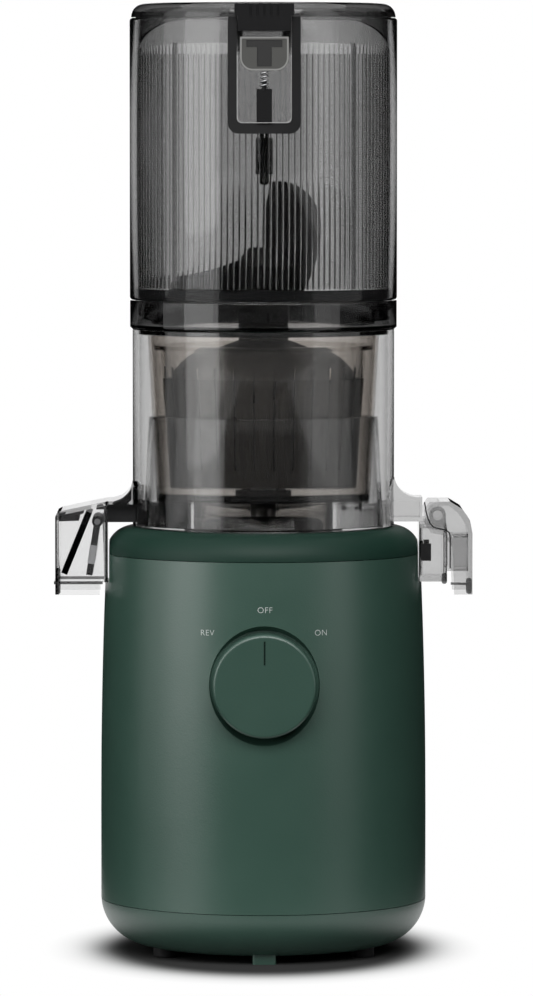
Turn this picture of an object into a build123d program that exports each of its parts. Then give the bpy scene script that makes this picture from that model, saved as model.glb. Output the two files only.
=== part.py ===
"""Cold press juicer with a self-feeding hopper, as an assembly of separate pieces.

Millimetres, +Z up.  The origin is on the table under the axis of the barrel, the control
knob faces -Y, the juice spout points to +X and the pulp spout to -X.
"""
from build123d import *
import os
from math import acos, asin, cos, hypot, pi, radians, sin, sqrt, tan

# ---------------------------------------------------------------- driving dimensions
CLEAR = 0.3                  # gap between pieces that move past each other
FIT = 0.05                   # radial running fit of a shaft in its hole
WALL = 3.0                   # wall of the base castings

# base
BARREL_R = 78.2
PAN_BOTTOM = 3.6             # underside of the base pan
PAN_TOP = 25.2
PAN_ARC_R = 23.0             # rounding of the pan's lower edge
SEAM = 0.3                   # shadow gap between base mouldings
TAPER_START = 70.0           # the barrel is straight up to here, then leans in
BARREL_TOP = 191.6
BARREL_TOP_R = BARREL_R - 2.7      # the barrel leans in by this much
COVER_BOTTOM = BARREL_TOP + SEAM
SHOULDER_R = 12.5            # rounding of the top cover
COVER_TOP = COVER_BOTTOM + 0.1 + SHOULDER_R
SPIGOT = 6.0                 # length of the tongues that centre pan and cover in the barrel
SCOOP_X = BARREL_TOP_R - 1.5       # flat beside each spout
SCOOP_HALF_WIDTH = 20.0
SCOOP_DEPTH = 20.0
SCOOP_BOTTOM = BARREL_TOP - 13.6
SCOOP_EDGE_R = 5.0

# feet and screws under the base
FOOT_X = 47.0
FOOT_Y = 31.0
FOOT_R = 5.75
FOOT_RECESS = 1.2
BASE_SCREW_R = 1.5
BASE_SCREW_HEAD_R = 3.2
PILLAR_R = 5.4
PILLAR_TOP = 34.0
SCREW_BITE = 12.0            # length of screw in its boss
FRONT_FOOT = (11.2, 12.0, BARREL_R - 16.2)    # width, depth, distance of its face from the axis
VENT_COUNT = 10
VENT_R_IN = 15.0
VENT_R_OUT = 27.0
VENT_WIDTH = 2.6

# control knob and its switch
KNOB_Z = 134.0
KNOB_R = 24.5
KNOB_FACE_Y = -BARREL_R - 6.8      # the knob stands this far out of the barrel
KNOB_EDGE_R = 1.6
KNOB_LINE = (0.9, 11.5, 3.0)       # width, length and start below the rim of the indicator line
KNOB_WALL = 2.4
DISH_R = 28.7                # rim of the dish around the knob, on the barrel's face
DISH_FLOOR_R = 25.6
DISH_FLOOR_Y = -BARREL_R + 6.2     # and the dish is this deep
KNOB_STEM_R = 5.0
SWITCH_SHAFT_R = 3.0
SWITCH_SIZE = (26.0, 17.0, 26.0)   # width, depth, height
SWITCH_EAR_X = 16.0          # screws beside the switch
SWITCH_SCREW_R = 1.3

# cord gland
GLAND_Z = 40.0
GLAND_R = 8.0
GLAND_NECK_R = 6.0
GLAND_BORE_R = 3.6
GLAND_END_Y = BARREL_R + 6.8
GLAND_EDGE_R = 2.5
GLAND_FLANGE = 5.0           # flange inside the wall

# motor
MOTOR_SHAFT_R = 4.0
ROTOR_R = 17.5
AIR_GAP = 0.5
STATOR_R = 38.0
STATOR_Z = (34.0, 72.0)
WINDING_LENGTH = 8.0
BELL_WALL = 3.0
BELL_Z = (18.0, 88.0)
BEARING_R = 11.0
BEARING_WIDTH = 6.0
EAR_RADIUS = 50.0            # motor mounting ears
EAR_R = 6.0
EAR_THICK = 4.0
MOUNT_HEIGHT = 5.0           # rubber mounts under the ears
MOTOR_SCREW = (1.35, 3.0, 2.4, 5.0)       # radius, head radius, head height, bite below the mount
FAN_R = 29.0
FAN_Z = (9.6, 15.2)
FAN_BLADES = 9

# gears: two stages on the same centre distance
MODULE = 1.0
PINION_TEETH = 12
WHEEL_TEETH = 48
PRESSURE_ANGLE = 25.0
BACKLASH = 0.14              # taken off the thickness of every tooth
STAGE_ONE_Z = (94.0, 103.0)
STAGE_TWO_Z = (106.0, 118.0)
AXLE_R = 3.0
CASE_WALL = 3.0
CASE_FLOOR = 4.0
CASE_TOP = 121.0
CASE_LID = 4.0               # thickness of the gearbox cover
CASE_SCREW = (1.5, 2.8, 2.2, 10.0)        # radius, head radius, head height, bite in the case
GEAR_ROOM = 2.0              # free space round the wheels
OUTPUT_BEARING_R = 12.0
BOSS_TOP = 149.0
BOARD_Z = 131.0
BOARD_SIZE = (48.0, 38.0, 1.6)
BOARD_Y = 41.0
BOARD_POSTS = ((18.0, -14.0), (12.0, 13.0))    # from the middle of the board, both sides
CAPACITOR = (7.0, 20.0, -13.0, 6.0)       # radius, height, X, and Y from the board's middle
RELAY = (18.0, 14.0, 14.0)   # width, depth, height
TERMINALS = (40.0, 6.0, 9.0)

# drive
DRIVE_R = 6.0
HEX_Z = (COVER_TOP + 39.5, COVER_TOP + 57.5)
SEAT_FLANGE_R = 38.0
SEAT_HUB_R = 29.0
SEAT_HUB_TOP = COVER_TOP + 9.5
SEAT_FLANGE = 2.0

# chamber: the clear bowl, its skirt and its collar
SKIRT_R = 62.8
SKIRT_WALL = 2.3
COLLAR_R = SKIRT_R + 1.2
COLLAR_Z = (COVER_TOP + 94.8, COVER_TOP + 108.7)
COLLAR_WALL = 2.4
BOWL_TOP_R = SKIRT_R - 7.1
BOWL_FLOOR_R = BOWL_TOP_R - 4.4
BOWL_FLOOR_Z = COVER_TOP + 14.5
BOWL_WALL = 2.2
BOWL_FLOOR = 3.0
TUBE_R = 10.5                # tube of the bowl round the drive shaft
TUBE_WALL = 2.8
TUBE_TOP = BOWL_FLOOR_Z + 26.0
FOOT_RING_R = 33.5           # ring of the bowl that drops over the seat
INNER_SKIRT = (SKIRT_R - 7.8, COVER_TOP + 55.5, SKIRT_R - 5.1, COVER_TOP + 1.5)   # top and bottom edge
LUG_ANGLE = -105.5           # middle of the first of four bayonet lugs
LUG_SPAN = 33.0
LEDGE_SPAN = 24.0
LUG_Z = (COLLAR_Z[0] + 4.3, COLLAR_Z[0] + 9.1)
LEDGE_Z = (LUG_Z[1] + 0.6, LUG_Z[1] + 3.6)
SPIGOT_R = COLLAR_R - 4.6    # hopper's spigot inside the collar

# strainer and screw
STRAINER_TOP_R = BOWL_TOP_R - 6.2
STRAINER_FLOOR_R = BOWL_FLOOR_R - 6.7
STRAINER_Z = (BOWL_FLOOR_Z + 7.0, BOWL_FLOOR_Z + 73.0)
STRAINER_WALL = 1.5
STRAINER_SLOTS = 32
SCREW_BOTTOM = STRAINER_Z[0] + 3.0
SCREW_NECK_R = 12.0
SCREW_TOP = COLLAR_Z[1] - 0.2
SHOULDER_Z = SCREW_BOTTOM + 47.0
SHOULDER_TOP_R = STRAINER_TOP_R - 4.7
FLIGHT_R = STRAINER_FLOOR_R - 4.1
CORE_BOTTOM_R = FLIGHT_R - 7.5
CORE_WAIST_R = FLIGHT_R - 14.5
FLIGHT_PITCH = 40.0
FLIGHT_THICK = 5.0
FLIGHTS = 2

# cutting wing on the screw's neck
WING_HUB_R = 15.0
WING_HUB_Z = (SCREW_TOP + 0.4, SCREW_TOP + 25.0)
PADDLE_THICK = 5.0
PADDLE_TOP = SCREW_TOP + 58.0
PADDLE_REACH = 27.7
WING_REACH = SHOULDER_TOP_R
WING_THICK = 8.0

# hopper
HOPPER_R = COLLAR_R + 0.1
HOPPER_WALL = 2.4
HOPPER_Z = (COLLAR_Z[1] + CLEAR, COLLAR_Z[1] + 134.8)
FLOOR_PLATE_Z = (HOPPER_Z[0] + 1.1, HOPPER_Z[0] + 5.7)
FEED_R = (21.0, HOPPER_R - 11.1)        # feed opening in the floor plate
FEED_ANGLES = (15.0, 125.0)
WINDOW_HALF = 17.0           # cut in the front wall for the window frame
WINDOW_BOTTOM = HOPPER_Z[1] - 55.0
WINDOW_CORNER_R = 5.0        # rounding of the window's lower corners
FRAME_BAR = 4.1
FRAME_SILL = 5.0
FRAME_PROUD = 1.0
ROD_Y = -HOPPER_R + 6.9
ROD_R = 2.2
ROD_Z = (WINDOW_BOTTOM - 24.0, WINDOW_BOTTOM + 4.9)
GUIDE_Z = (WINDOW_BOTTOM - 19.0, WINDOW_BOTTOM - 2.0)
GUIDE_WALL = 1.8
RIB_ANGLES = (-133.5, -46.5)       # two slim ribs on the front of the hopper's inside
RIB_DEPTH = 1.6
RIB_SPAN = 1.0               # degrees
RIB_TOP = HOPPER_Z[1] - 19.0

# lid
LID_R = HOPPER_R - 0.8
LID_WALL = 2.2
LID_EDGE_R = 6.4
LID_BOTTOM = HOPPER_Z[1] + CLEAR
LID_TOP = LID_BOTTOM + 0.3 + LID_EDGE_R
LID_SKIRT_R = HOPPER_R - 2.9
LID_SKIRT_BOTTOM = HOPPER_Z[1] - 17.4
ARCH = ((1.5, -1.0), (4.0, 5.4), (11.2, 12.4), (21.7, 15.7))   # inside the skirt's radius, over its edge
HINGE_Y = HOPPER_R + 4.9
HINGE_Z = HOPPER_Z[1] - 2.0
KNUCKLE_R = 4.0
KNUCKLE_HALF = 9.7
HINGE_EAR = 4.5
HINGE_PIN_R = 1.6
BUTTON_HALF = 11.5
BUTTON_Z = (HOPPER_Z[1] - 25.5, HOPPER_Z[1] - 9.5)
BUTTON_THICK = 2.6
BUTTON_TRAVEL = 4.0
KEEPER_HALF = 3.6
KEEPER_TOP = WINDOW_BOTTOM + 21.0
LATCH_CAP_HALF = 14.0
LATCH_SPRING_R = 1.6
LATCH_SPRING_Y = -HOPPER_R - 1.9
LATCH_WIRE_R = 0.35
LATCH_TURNS = 4

# juice spout and its cap
JUICE_DUCT_HALF = 9.0
JUICE_DUCT_Z = (COVER_TOP + 2.5, BOWL_FLOOR_Z - CLEAR)
SPOUT_HALF = 14.5
SPOUT_X = (SCOOP_X + 0.6, SCOOP_X + 14.0)
SPOUT_Z = (COVER_TOP - 26.0, COVER_TOP + 1.5)
SPOUT_WALL = 2.0
MOUTH_HALF = 7.0
MOUTH_Z = (SPOUT_Z[0] + 6.5, SPOUT_Z[0] + 20.5)
CAP_PIVOT = (SPOUT_X[0] + 8.7, SPOUT_Z[1] + 4.5)
CAP_PIVOT_R = 4.0
CAP_PIN_R = 2.4
CAP_END_X = SPOUT_X[1] + 12.0
CAP_HALF = 17.0
CAP_WALL = 2.0
CAP_BOTTOM = SPOUT_Z[0] - 6.0
CAP_TOP = CAP_PIVOT[1] + 6.5
FLARE_HALF = 8.6             # half width of the web between the skirt and the juice spout
FLARE_RISE = 9.5             # the webs climb this far up the skirt

# pulp spout
PULP_END_X = -SCOOP_X - 25.8
PULP_HALF = 18.0
PULP_Z = (SPOUT_Z[0] - 6.0, COVER_TOP + 12.8)
HOOD_FALL = 4.6              # the hood's roof falls by this much to its outer end
DUCT_STEP = 3.0              # the chute is this much lower outside the skirt
PULP_DUCT_HALF = 13.0
PULP_DUCT_Z = JUICE_DUCT_Z
PULP_DUCT_END_X = -SCOOP_X - 2.0
FLAP_PIVOT = (-SCOOP_X - 5.6, SPOUT_Z[1] + 1.5)
FLAP_LENGTH = 26.0
FLAP_LEAN = 8.7              # degrees from the vertical at rest
FLAP_THICK = 3.0
FLAP_PIN_R = 1.4
DEFLECTOR = ((-SCOOP_X - 9.5, SPOUT_Z[1] + 6.0), (-SCOOP_X - 21.5, SPOUT_Z[0] + 4.0))   # top, bottom
DEFLECTOR_THICK = 3.0

# ---------------------------------------------------------------- derived dimensions
SHELL_BOTTOM = PAN_TOP + SEAM
CENTRES = MODULE * (PINION_TEETH + WHEEL_TEETH) / 2
WHEEL_TIP_R = MODULE * (WHEEL_TEETH / 2 + 1)
CASE_R = WHEEL_TIP_R + GEAR_ROOM
SKIRT_BOTTOM = COVER_TOP + CLEAR
FOOT_PLACES = [(sx * FOOT_X, sy * FOOT_Y) for sx in (-1, 1) for sy in (-1, 1)]
EAR_PLACES = [(EAR_RADIUS * cos(radians(a)), EAR_RADIUS * sin(radians(a))) for a in (45, 135, 225, 315)]
LOW = (Align.CENTER, Align.CENTER, Align.MIN)


# ---------------------------------------------------------------- small helpers
def cyl(r, z0, z1, x=0.0, y=0.0):
    """Upright cylinder from z0 to z1."""
    return Pos(x, y, z0) * Cylinder(r, z1 - z0, align=LOW)


def tube(r_out, r_in, z0, z1, x=0.0, y=0.0):
    """Upright tube from z0 to z1."""
    return cyl(r_out, z0, z1, x, y) - cyl(r_in, z0, z1, x, y)


def block(x0, x1, y0, y1, z0, z1):
    """Box between two corners."""
    return Pos((x0 + x1) / 2, (y0 + y1) / 2, (z0 + z1) / 2) * Box(x1 - x0, y1 - y0, z1 - z0)


def rod_y(r, y0, y1, x, z):
    """Cylinder along Y."""
    return Pos(x, (y0 + y1) / 2, z) * Rot(90, 0, 0) * Cylinder(r, y1 - y0)


def rod_x(r, x0, x1, y, z):
    """Cylinder along X."""
    return Pos((x0 + x1) / 2, y, z) * Rot(0, 90, 0) * Cylinder(r, x1 - x0)


def turned(*edges):
    """Solid of revolution about Z of a closed outline drawn as (radius, height)."""
    return revolve(Plane.XZ * make_face(Curve() + list(edges)), Axis.Z)


def turned_points(points):
    """Solid of revolution of a polygon of (radius, height) points."""
    return turned(Polyline(*points, close=True))


def extruded_y(points, half):
    """Prism of an outline of (x, z) points, from y = -half to +half."""
    return extrude(Plane.XZ * make_face(Polyline(*points, close=True)), half, both=True)


def sector(r_in, r_out, z0, z1, middle, span):
    """Piece of a tube that spans an angle round a middle angle, in degrees."""
    a0, a1 = radians(middle - span / 2), radians(middle + span / 2)
    am = radians(middle)

    def at(r, a):
        return (r * cos(a), r * sin(a))

    face = make_face(Curve() + [
        Line(at(r_in, a0), at(r_out, a0)),
        ThreePointArc(at(r_out, a0), at(r_out, am), at(r_out, a1)),
        Line(at(r_out, a1), at(r_in, a1)),
        ThreePointArc(at(r_in, a1), at(r_in, am), at(r_in, a0)),
    ])
    return Pos(0, 0, z0) * extrude(face, z1 - z0)


def hexagon(r, z0, z1):
    """Upright hexagonal bar, r across its corners halved."""
    return Pos(0, 0, z0) * extrude(RegularPolygon(r, 6), z1 - z0)


def involute(angle):
    """Involute function of a pressure angle in radians."""
    return tan(angle) - angle


def gear(teeth, z0, z1, bore, first_tooth):
    """Spur gear with involute flanks, one tooth centred on first_tooth degrees."""
    pitch = MODULE * teeth / 2
    base = pitch * cos(radians(PRESSURE_ANGLE))
    tip, root = pitch + MODULE, pitch - 1.25 * MODULE
    half = pi / (2 * teeth) - BACKLASH / (2 * pitch) + involute(radians(PRESSURE_ANGLE))
    start = max(base, root)
    flank = [start + (tip - start) * k / 4 for k in range(5)]
    profile = [(r, half - involute(acos(min(1.0, base / r)))) for r in flank]
    if root < base:
        profile.insert(0, (root, profile[0][1]))
    points = []
    for k in range(teeth):
        middle = radians(first_tooth) + 2 * pi * k / teeth
        points += [(r * cos(middle - a), r * sin(middle - a)) for r, a in profile]
        points += [(r * cos(middle + a), r * sin(middle + a)) for r, a in reversed(profile)]
    body = Pos(0, 0, z0) * extrude(make_face(Polyline(*points, close=True)), z1 - z0)
    return body - cyl(bore, z0, z1) if bore else body


def save(name, shape):
    """Write one node."""
    export_step(shape, f"parts/{name}.step")


# ---------------------------------------------------------------- base mouldings
def pan_solid(inset, top):
    """Solid inside the pan's outline, moved in by inset."""
    centre_r, centre_z = BARREL_R - PAN_ARC_R, PAN_TOP + 1.3
    r = PAN_ARC_R - inset
    floor = PAN_BOTTOM + inset
    low, high = asin((floor - centre_z) / r), asin((PAN_TOP - centre_z) / r)

    def at(a):
        return (centre_r + r * cos(a), centre_z + r * sin(a))

    foot, edge = at(low), at(high)
    solid = turned(
        Line((0, floor), foot),
        ThreePointArc(foot, at((low + high) / 2), edge),
        Line(edge, (0, PAN_TOP)),
        Line((0, PAN_TOP), (0, floor)),
    )
    return solid + cyl(edge[0], PAN_TOP, top) if top > PAN_TOP else solid


def barrel_solid(inset, z0, z1):
    """Solid inside the barrel's outline, moved in by inset: straight, then a long shallow arc."""
    rise = BARREL_TOP - TAPER_START
    lean = BARREL_R - BARREL_TOP_R
    arc_r = (rise * rise + lean * lean) / (2 * lean)
    r = BARREL_R - inset

    def at(z):
        return (r - arc_r + sqrt(arc_r * arc_r - (z - TAPER_START) ** 2), z)

    return turned(
        Line((0, z0), (r, z0)),
        Line((r, z0), (r, TAPER_START)),
        ThreePointArc((r, TAPER_START), at((TAPER_START + z1) / 2), at(z1)),
        Line(at(z1), (0, z1)),
        Line((0, z1), (0, z0)),
    )


def cover_solid(inset, z0):
    """Solid inside the top cover's outline, moved in by inset."""
    r = SHOULDER_R - inset
    centre_r, centre_z = BARREL_TOP_R - SHOULDER_R, COVER_TOP - SHOULDER_R
    foot, peak = (centre_r + r, centre_z + 0.01), (centre_r, centre_z + r)
    return turned(
        Line((0, z0), (foot[0], z0)),
        Line((foot[0], z0), foot),
        ThreePointArc(foot, (centre_r + r / sqrt(2), centre_z + r / sqrt(2)), peak),
        Line(peak, (0, peak[1])),
        Line((0, peak[1]), (0, z0)),
    )


def scoops(inset):
    """The two flats beside the spouts, with a curved run-out below."""
    half = SCOOP_HALF_WIDTH + inset
    bottom, top = SCOOP_BOTTOM - inset, COVER_TOP + 10
    one = block(SCOOP_X - inset, SCOOP_X - inset + SCOOP_DEPTH, -half, half, bottom, top)
    one = fillet(one.edges().filter_by(Axis.X).group_by(Axis.Z)[0], SCOOP_EDGE_R + inset)
    return one + mirror(one, Plane.YZ)


def dish(inset):
    """The round dish that the control knob sits in, a cone that opens to the front."""
    floor_y = DISH_FLOOR_Y + inset
    depth = 30.0
    slope = (DISH_R - DISH_FLOOR_R) / (BARREL_R - abs(DISH_FLOOR_Y))
    cone = Cone(DISH_FLOOR_R + inset, DISH_FLOOR_R + inset + slope * depth, depth, align=LOW)
    return Pos(0, floor_y, KNOB_Z) * Rot(90, 0, 0) * cone


def base_pan():
    pan = pan_solid(0, PAN_TOP) - pan_solid(WALL, PAN_TOP)
    tongue_r = BARREL_R - WALL - CLEAR
    ring_bottom = PAN_TOP - 10
    pan += tube(tongue_r, tongue_r - WALL, ring_bottom, PAN_TOP + SPIGOT) & pan_solid(0.01, PAN_TOP + SPIGOT)
    for x, y in FOOT_PLACES:
        pan += cyl(PILLAR_R, PAN_BOTTOM + 1, PILLAR_TOP, x, y)
    for x, y in EAR_PLACES:
        pan += cyl(EAR_R - 1, PAN_BOTTOM + 1, BELL_Z[0] - MOUNT_HEIGHT, x, y)
        r, bite = MOTOR_SCREW[0] + FIT, MOTOR_SCREW[3]
        pan -= cyl(r, BELL_Z[0] - MOUNT_HEIGHT - bite, BELL_Z[0] - MOUNT_HEIGHT, x, y)
    for x, y in FOOT_PLACES:
        pan -= cyl(FOOT_R + 0.1, 0, PAN_BOTTOM + FOOT_RECESS, x, y)
        pan -= cyl(BASE_SCREW_HEAD_R + 0.3, 0, PILLAR_TOP - 6, x, y)
        pan -= cyl(BASE_SCREW_R + 0.2, 0, PILLAR_TOP + 1, x, y)
    width, depth, front = FRONT_FOOT
    half = width / 2 + 0.1
    pan -= block(-half, half, -front - 5, depth - front + 0.1, 0, PAN_BOTTOM + FOOT_RECESS)
    slot = block(VENT_R_IN, VENT_R_OUT, -VENT_WIDTH / 2, VENT_WIDTH / 2, 0, PAN_BOTTOM + WALL + 1)
    for k in range(VENT_COUNT):
        pan -= Rot(0, 0, 360 * k / VENT_COUNT) * slot
    return pan


def boss_places():
    """Centre and direction to the barrel wall of each screw boss in the shell."""
    return [(x, y, x / hypot(x, y), y / hypot(x, y)) for x, y in FOOT_PLACES]


def body_shell():
    bottom = SHELL_BOTTOM
    outer = barrel_solid(0, bottom, BARREL_TOP) - dish(0) - scoops(0)
    inner = barrel_solid(WALL, bottom, BARREL_TOP) - dish(WALL) - scoops(WALL)
    shell = outer - inner
    boss_bottom = PILLAR_TOP + CLEAR
    for x, y, ux, uy in boss_places():
        angle = (180 / pi) * (acos(ux) if uy > 0 else -acos(ux))
        reach = BARREL_R - WALL / 2 - hypot(x, y)
        web = Pos(x, y, 0) * Rot(0, 0, angle) * block(0, reach, -1.5, 1.5, boss_bottom + 2, boss_bottom + 18)
        shell += cyl(PILLAR_R, boss_bottom, boss_bottom + 18, x, y) + web
    for x, y in FOOT_PLACES:
        shell -= cyl(BASE_SCREW_R + FIT, boss_bottom - 1, boss_bottom + SCREW_BITE + 1, x, y)
    shell -= rod_y(KNOB_STEM_R + 0.6, DISH_FLOOR_Y - 5, DISH_FLOOR_Y + WALL + 5, 0, KNOB_Z)
    for side in (-1, 1):
        x = side * SWITCH_EAR_X
        shell -= rod_y(SWITCH_SCREW_R + 0.2, DISH_FLOOR_Y - 5, DISH_FLOOR_Y + WALL + 5, x, KNOB_Z)
        shell -= rod_y(2 * SWITCH_SCREW_R + 0.2, DISH_FLOOR_Y - 5, DISH_FLOOR_Y + 1.8, x, KNOB_Z)
    shell -= rod_y(GLAND_NECK_R + 0.1, BARREL_R - 10, BARREL_R + 10, 0, GLAND_Z)
    return shell


def top_cover():
    cover = cover_solid(0, COVER_BOTTOM) - cover_solid(WALL, COVER_BOTTOM)
    tongue_r = BARREL_TOP_R - WALL - CLEAR
    tongue = tube(tongue_r, tongue_r - 2.6, BARREL_TOP - SPIGOT, COVER_TOP)
    inside = cover_solid(WALL - 0.5, BARREL_TOP - SPIGOT)
    cover += (tongue & inside) - scoops(WALL + CLEAR)
    cover -= scoops(0)
    cover -= cyl(seat_spigot_r() + 0.1, COVER_BOTTOM, COVER_TOP + 1)
    return cover


def seat_spigot_r():
    """Radius of the seat's lower part, in the top cover's hole."""
    return SEAT_HUB_R + 4.5


def chamber_seat():
    hub = cyl(seat_spigot_r(), COVER_TOP - WALL - 3, COVER_TOP)
    hub += cyl(SEAT_FLANGE_R, COVER_TOP, COVER_TOP + SEAT_FLANGE)
    hub += cyl(SEAT_HUB_R, COVER_TOP, SEAT_HUB_TOP)
    hub = chamfer(hub.edges().group_by(Axis.Z)[-1], 1.2)
    hub -= cyl(SEAT_HUB_R - 3, COVER_TOP - WALL - 3, SEAT_HUB_TOP - 9)
    hub -= cyl(DRIVE_R + 4, COVER_TOP, SEAT_HUB_TOP + 1)
    return hub


def shaft_seal():
    seal = tube(DRIVE_R + 4, DRIVE_R + 1.4, SEAT_HUB_TOP - 7, SEAT_HUB_TOP - 1)
    return seal + tube(DRIVE_R + 2, DRIVE_R + FIT, SEAT_HUB_TOP - 7, SEAT_HUB_TOP - 5)


def feet():
    one = cyl(FOOT_R, 0, PAN_BOTTOM + FOOT_RECESS)
    one = fillet(one.edges().group_by(Axis.Z)[0], 0.8)
    return Compound(children=[Pos(x, y, 0) * one for x, y in FOOT_PLACES])


def front_foot():
    width, depth, front = FRONT_FOOT
    pad = block(-width / 2, width / 2, -front, depth - front, 0, PAN_BOTTOM + FOOT_RECESS)
    return fillet(pad.edges().filter_by(Axis.Z), 1.2)


def base_screws():
    head = PILLAR_TOP - 6
    one = cyl(BASE_SCREW_HEAD_R, head - 2.4, head) + cyl(BASE_SCREW_R, head, PILLAR_TOP + SCREW_BITE)
    return Compound(children=[Pos(x, y, 0) * one for x, y in FOOT_PLACES])


def cord_gland():
    """Rubber bushing in the back wall, where the mains lead comes out."""
    face = sqrt(BARREL_R ** 2 - GLAND_R ** 2)
    gland = rod_y(GLAND_R, face - 2, GLAND_END_Y, 0, GLAND_Z)
    gland = fillet(gland.edges().group_by(Axis.Y)[-1], GLAND_EDGE_R)
    gland -= barrel_solid(0, SHELL_BOTTOM, BARREL_TOP)
    gland += rod_y(GLAND_NECK_R, BARREL_R - WALL - 3, GLAND_END_Y - 3, 0, GLAND_Z)
    inner = rod_y(GLAND_R, BARREL_R - WALL - 1 - GLAND_FLANGE, BARREL_R - WALL - 1, 0, GLAND_Z)
    gland += inner & barrel_solid(WALL, SHELL_BOTTOM, BARREL_TOP)
    return gland - rod_y(GLAND_BORE_R, BARREL_R - 15, GLAND_END_Y + 1, 0, GLAND_Z)


# ---------------------------------------------------------------- knob and switch
def control_knob():
    disc = rod_y(KNOB_R, KNOB_FACE_Y, DISH_FLOOR_Y - CLEAR, 0, KNOB_Z)
    disc = fillet(disc.edges().group_by(Axis.Y)[0], KNOB_EDGE_R)
    disc -= rod_y(KNOB_R - KNOB_WALL, KNOB_FACE_Y + KNOB_WALL, DISH_FLOOR_Y, 0, KNOB_Z)
    disc += rod_y(KNOB_STEM_R, KNOB_FACE_Y + 1, DISH_FLOOR_Y + WALL - CLEAR, 0, KNOB_Z)
    disc -= rod_y(SWITCH_SHAFT_R, KNOB_FACE_Y + 5, DISH_FLOOR_Y + WALL, 0, KNOB_Z)
    width, length, below = KNOB_LINE
    top = KNOB_Z + KNOB_R - below
    return disc - block(-width / 2, width / 2, KNOB_FACE_Y - 1, KNOB_FACE_Y + 0.6, top - length, top)


def switch_shaft():
    return rod_y(SWITCH_SHAFT_R, KNOB_FACE_Y + 5, DISH_FLOOR_Y + WALL + SWITCH_SIZE[1] - 4, 0, KNOB_Z)


def switch_body():
    width, depth, height = SWITCH_SIZE
    front = DISH_FLOOR_Y + WALL
    z0, z1 = KNOB_Z - height / 2, KNOB_Z + height / 2
    body = block(-width / 2, width / 2, front, front + depth, z0, z1)
    body += block(-SWITCH_EAR_X - 4, SWITCH_EAR_X + 4, front, front + 3, KNOB_Z - 6, KNOB_Z + 6)
    for k in (-1, 0, 1):
        body += block(8 * k - 2, 8 * k + 2, front + depth, front + depth + 6, KNOB_Z - 0.4, KNOB_Z + 0.4)
    body -= rod_y(SWITCH_SHAFT_R + FIT, front - 1, front + depth - 3, 0, KNOB_Z)
    for side in (-1, 1):
        body -= rod_y(SWITCH_SCREW_R + FIT, front - 1, front + 4, side * SWITCH_EAR_X, KNOB_Z)
    return body


def switch_screws():
    screws = []
    for side in (-1, 1):
        x = side * SWITCH_EAR_X
        head = rod_y(2 * SWITCH_SCREW_R, DISH_FLOOR_Y + 0.2, DISH_FLOOR_Y + 1.8, x, KNOB_Z)
        screws.append(head + rod_y(SWITCH_SCREW_R, DISH_FLOOR_Y + 1.8, DISH_FLOOR_Y + WALL + 5, x, KNOB_Z))
    return Compound(children=screws)


# ---------------------------------------------------------------- motor
def motor_stator():
    return tube(STATOR_R, ROTOR_R + AIR_GAP, *STATOR_Z)


def stator_windings():
    r_in, r_out = ROTOR_R + 4, STATOR_R - 4
    low = tube(r_out, r_in, STATOR_Z[0] - WINDING_LENGTH, STATOR_Z[0])
    high = tube(r_out, r_in, STATOR_Z[1], STATOR_Z[1] + WINDING_LENGTH)
    low = fillet(low.edges().group_by(Axis.Z)[0], 2)
    high = fillet(high.edges().group_by(Axis.Z)[-1], 2)
    return Compound(children=[low, high])


def bell(z_plate, z_open):
    """Motor end bell: a cup with a bearing boss, plate at z_plate, open towards z_open."""
    up = 1 if z_open > z_plate else -1
    levels = sorted((z_plate, z_open))
    r_in = STATOR_R + FIT
    cup = cyl(r_in + BELL_WALL, *levels) - cyl(r_in, *sorted((z_plate + up * BELL_WALL, z_open)))
    boss = sorted((z_plate + up * (BELL_WALL - 1), z_plate + up * (BELL_WALL + BEARING_WIDTH)))
    cup += cyl(BEARING_R + BELL_WALL, *boss)
    cup -= cyl(BEARING_R + FIT, *sorted((z_plate + up * BELL_WALL, z_plate + up * 20)))
    return cup - cyl(BEARING_R - 3, *sorted((z_plate - up, z_plate + up * 5)))


def motor_lower_bell():
    middle = (STATOR_Z[0] + STATOR_Z[1]) / 2
    cup = bell(BELL_Z[0], middle)
    for x, y in EAR_PLACES:
        angle = 180 / pi * acos(x / EAR_RADIUS) * (1 if y > 0 else -1)
        web = Rot(0, 0, angle) * block(STATOR_R + 2, EAR_RADIUS, -4, 4, BELL_Z[0], BELL_Z[0] + EAR_THICK)
        cup += cyl(EAR_R, BELL_Z[0], BELL_Z[0] + EAR_THICK, x, y) + web
    for x, y in EAR_PLACES:
        cup -= cyl(MOTOR_SCREW[0] + 0.55, BELL_Z[0] - 1, BELL_Z[0] + EAR_THICK + 1, x, y)
    return cup


def motor_upper_bell():
    middle = (STATOR_Z[0] + STATOR_Z[1]) / 2
    return bell(BELL_Z[1], middle)


def ball_bearing(r_out, r_in, z0):
    """Sealed bearing drawn as one closed ring with grooved faces."""
    ring = tube(r_out, r_in, z0, z0 + BEARING_WIDTH)
    middle = (r_out + r_in) / 2
    groove = tube(middle + 1.2, middle - 1.2, z0 - 1, z0 + 0.5)
    return ring - groove - Pos(0, 0, BEARING_WIDTH + 0.5) * groove


def motor_bearings():
    low = ball_bearing(BEARING_R, MOTOR_SHAFT_R + FIT, BELL_Z[0] + BELL_WALL)
    high = ball_bearing(BEARING_R, MOTOR_SHAFT_R + FIT, BELL_Z[1] - BELL_WALL - BEARING_WIDTH)
    return Compound(children=[low, high])


def motor_mounts():
    one = tube(EAR_R - 1, MOTOR_SCREW[0] + 0.35, BELL_Z[0] - MOUNT_HEIGHT, BELL_Z[0])
    return Compound(children=[Pos(x, y, 0) * one for x, y in EAR_PLACES])


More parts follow.
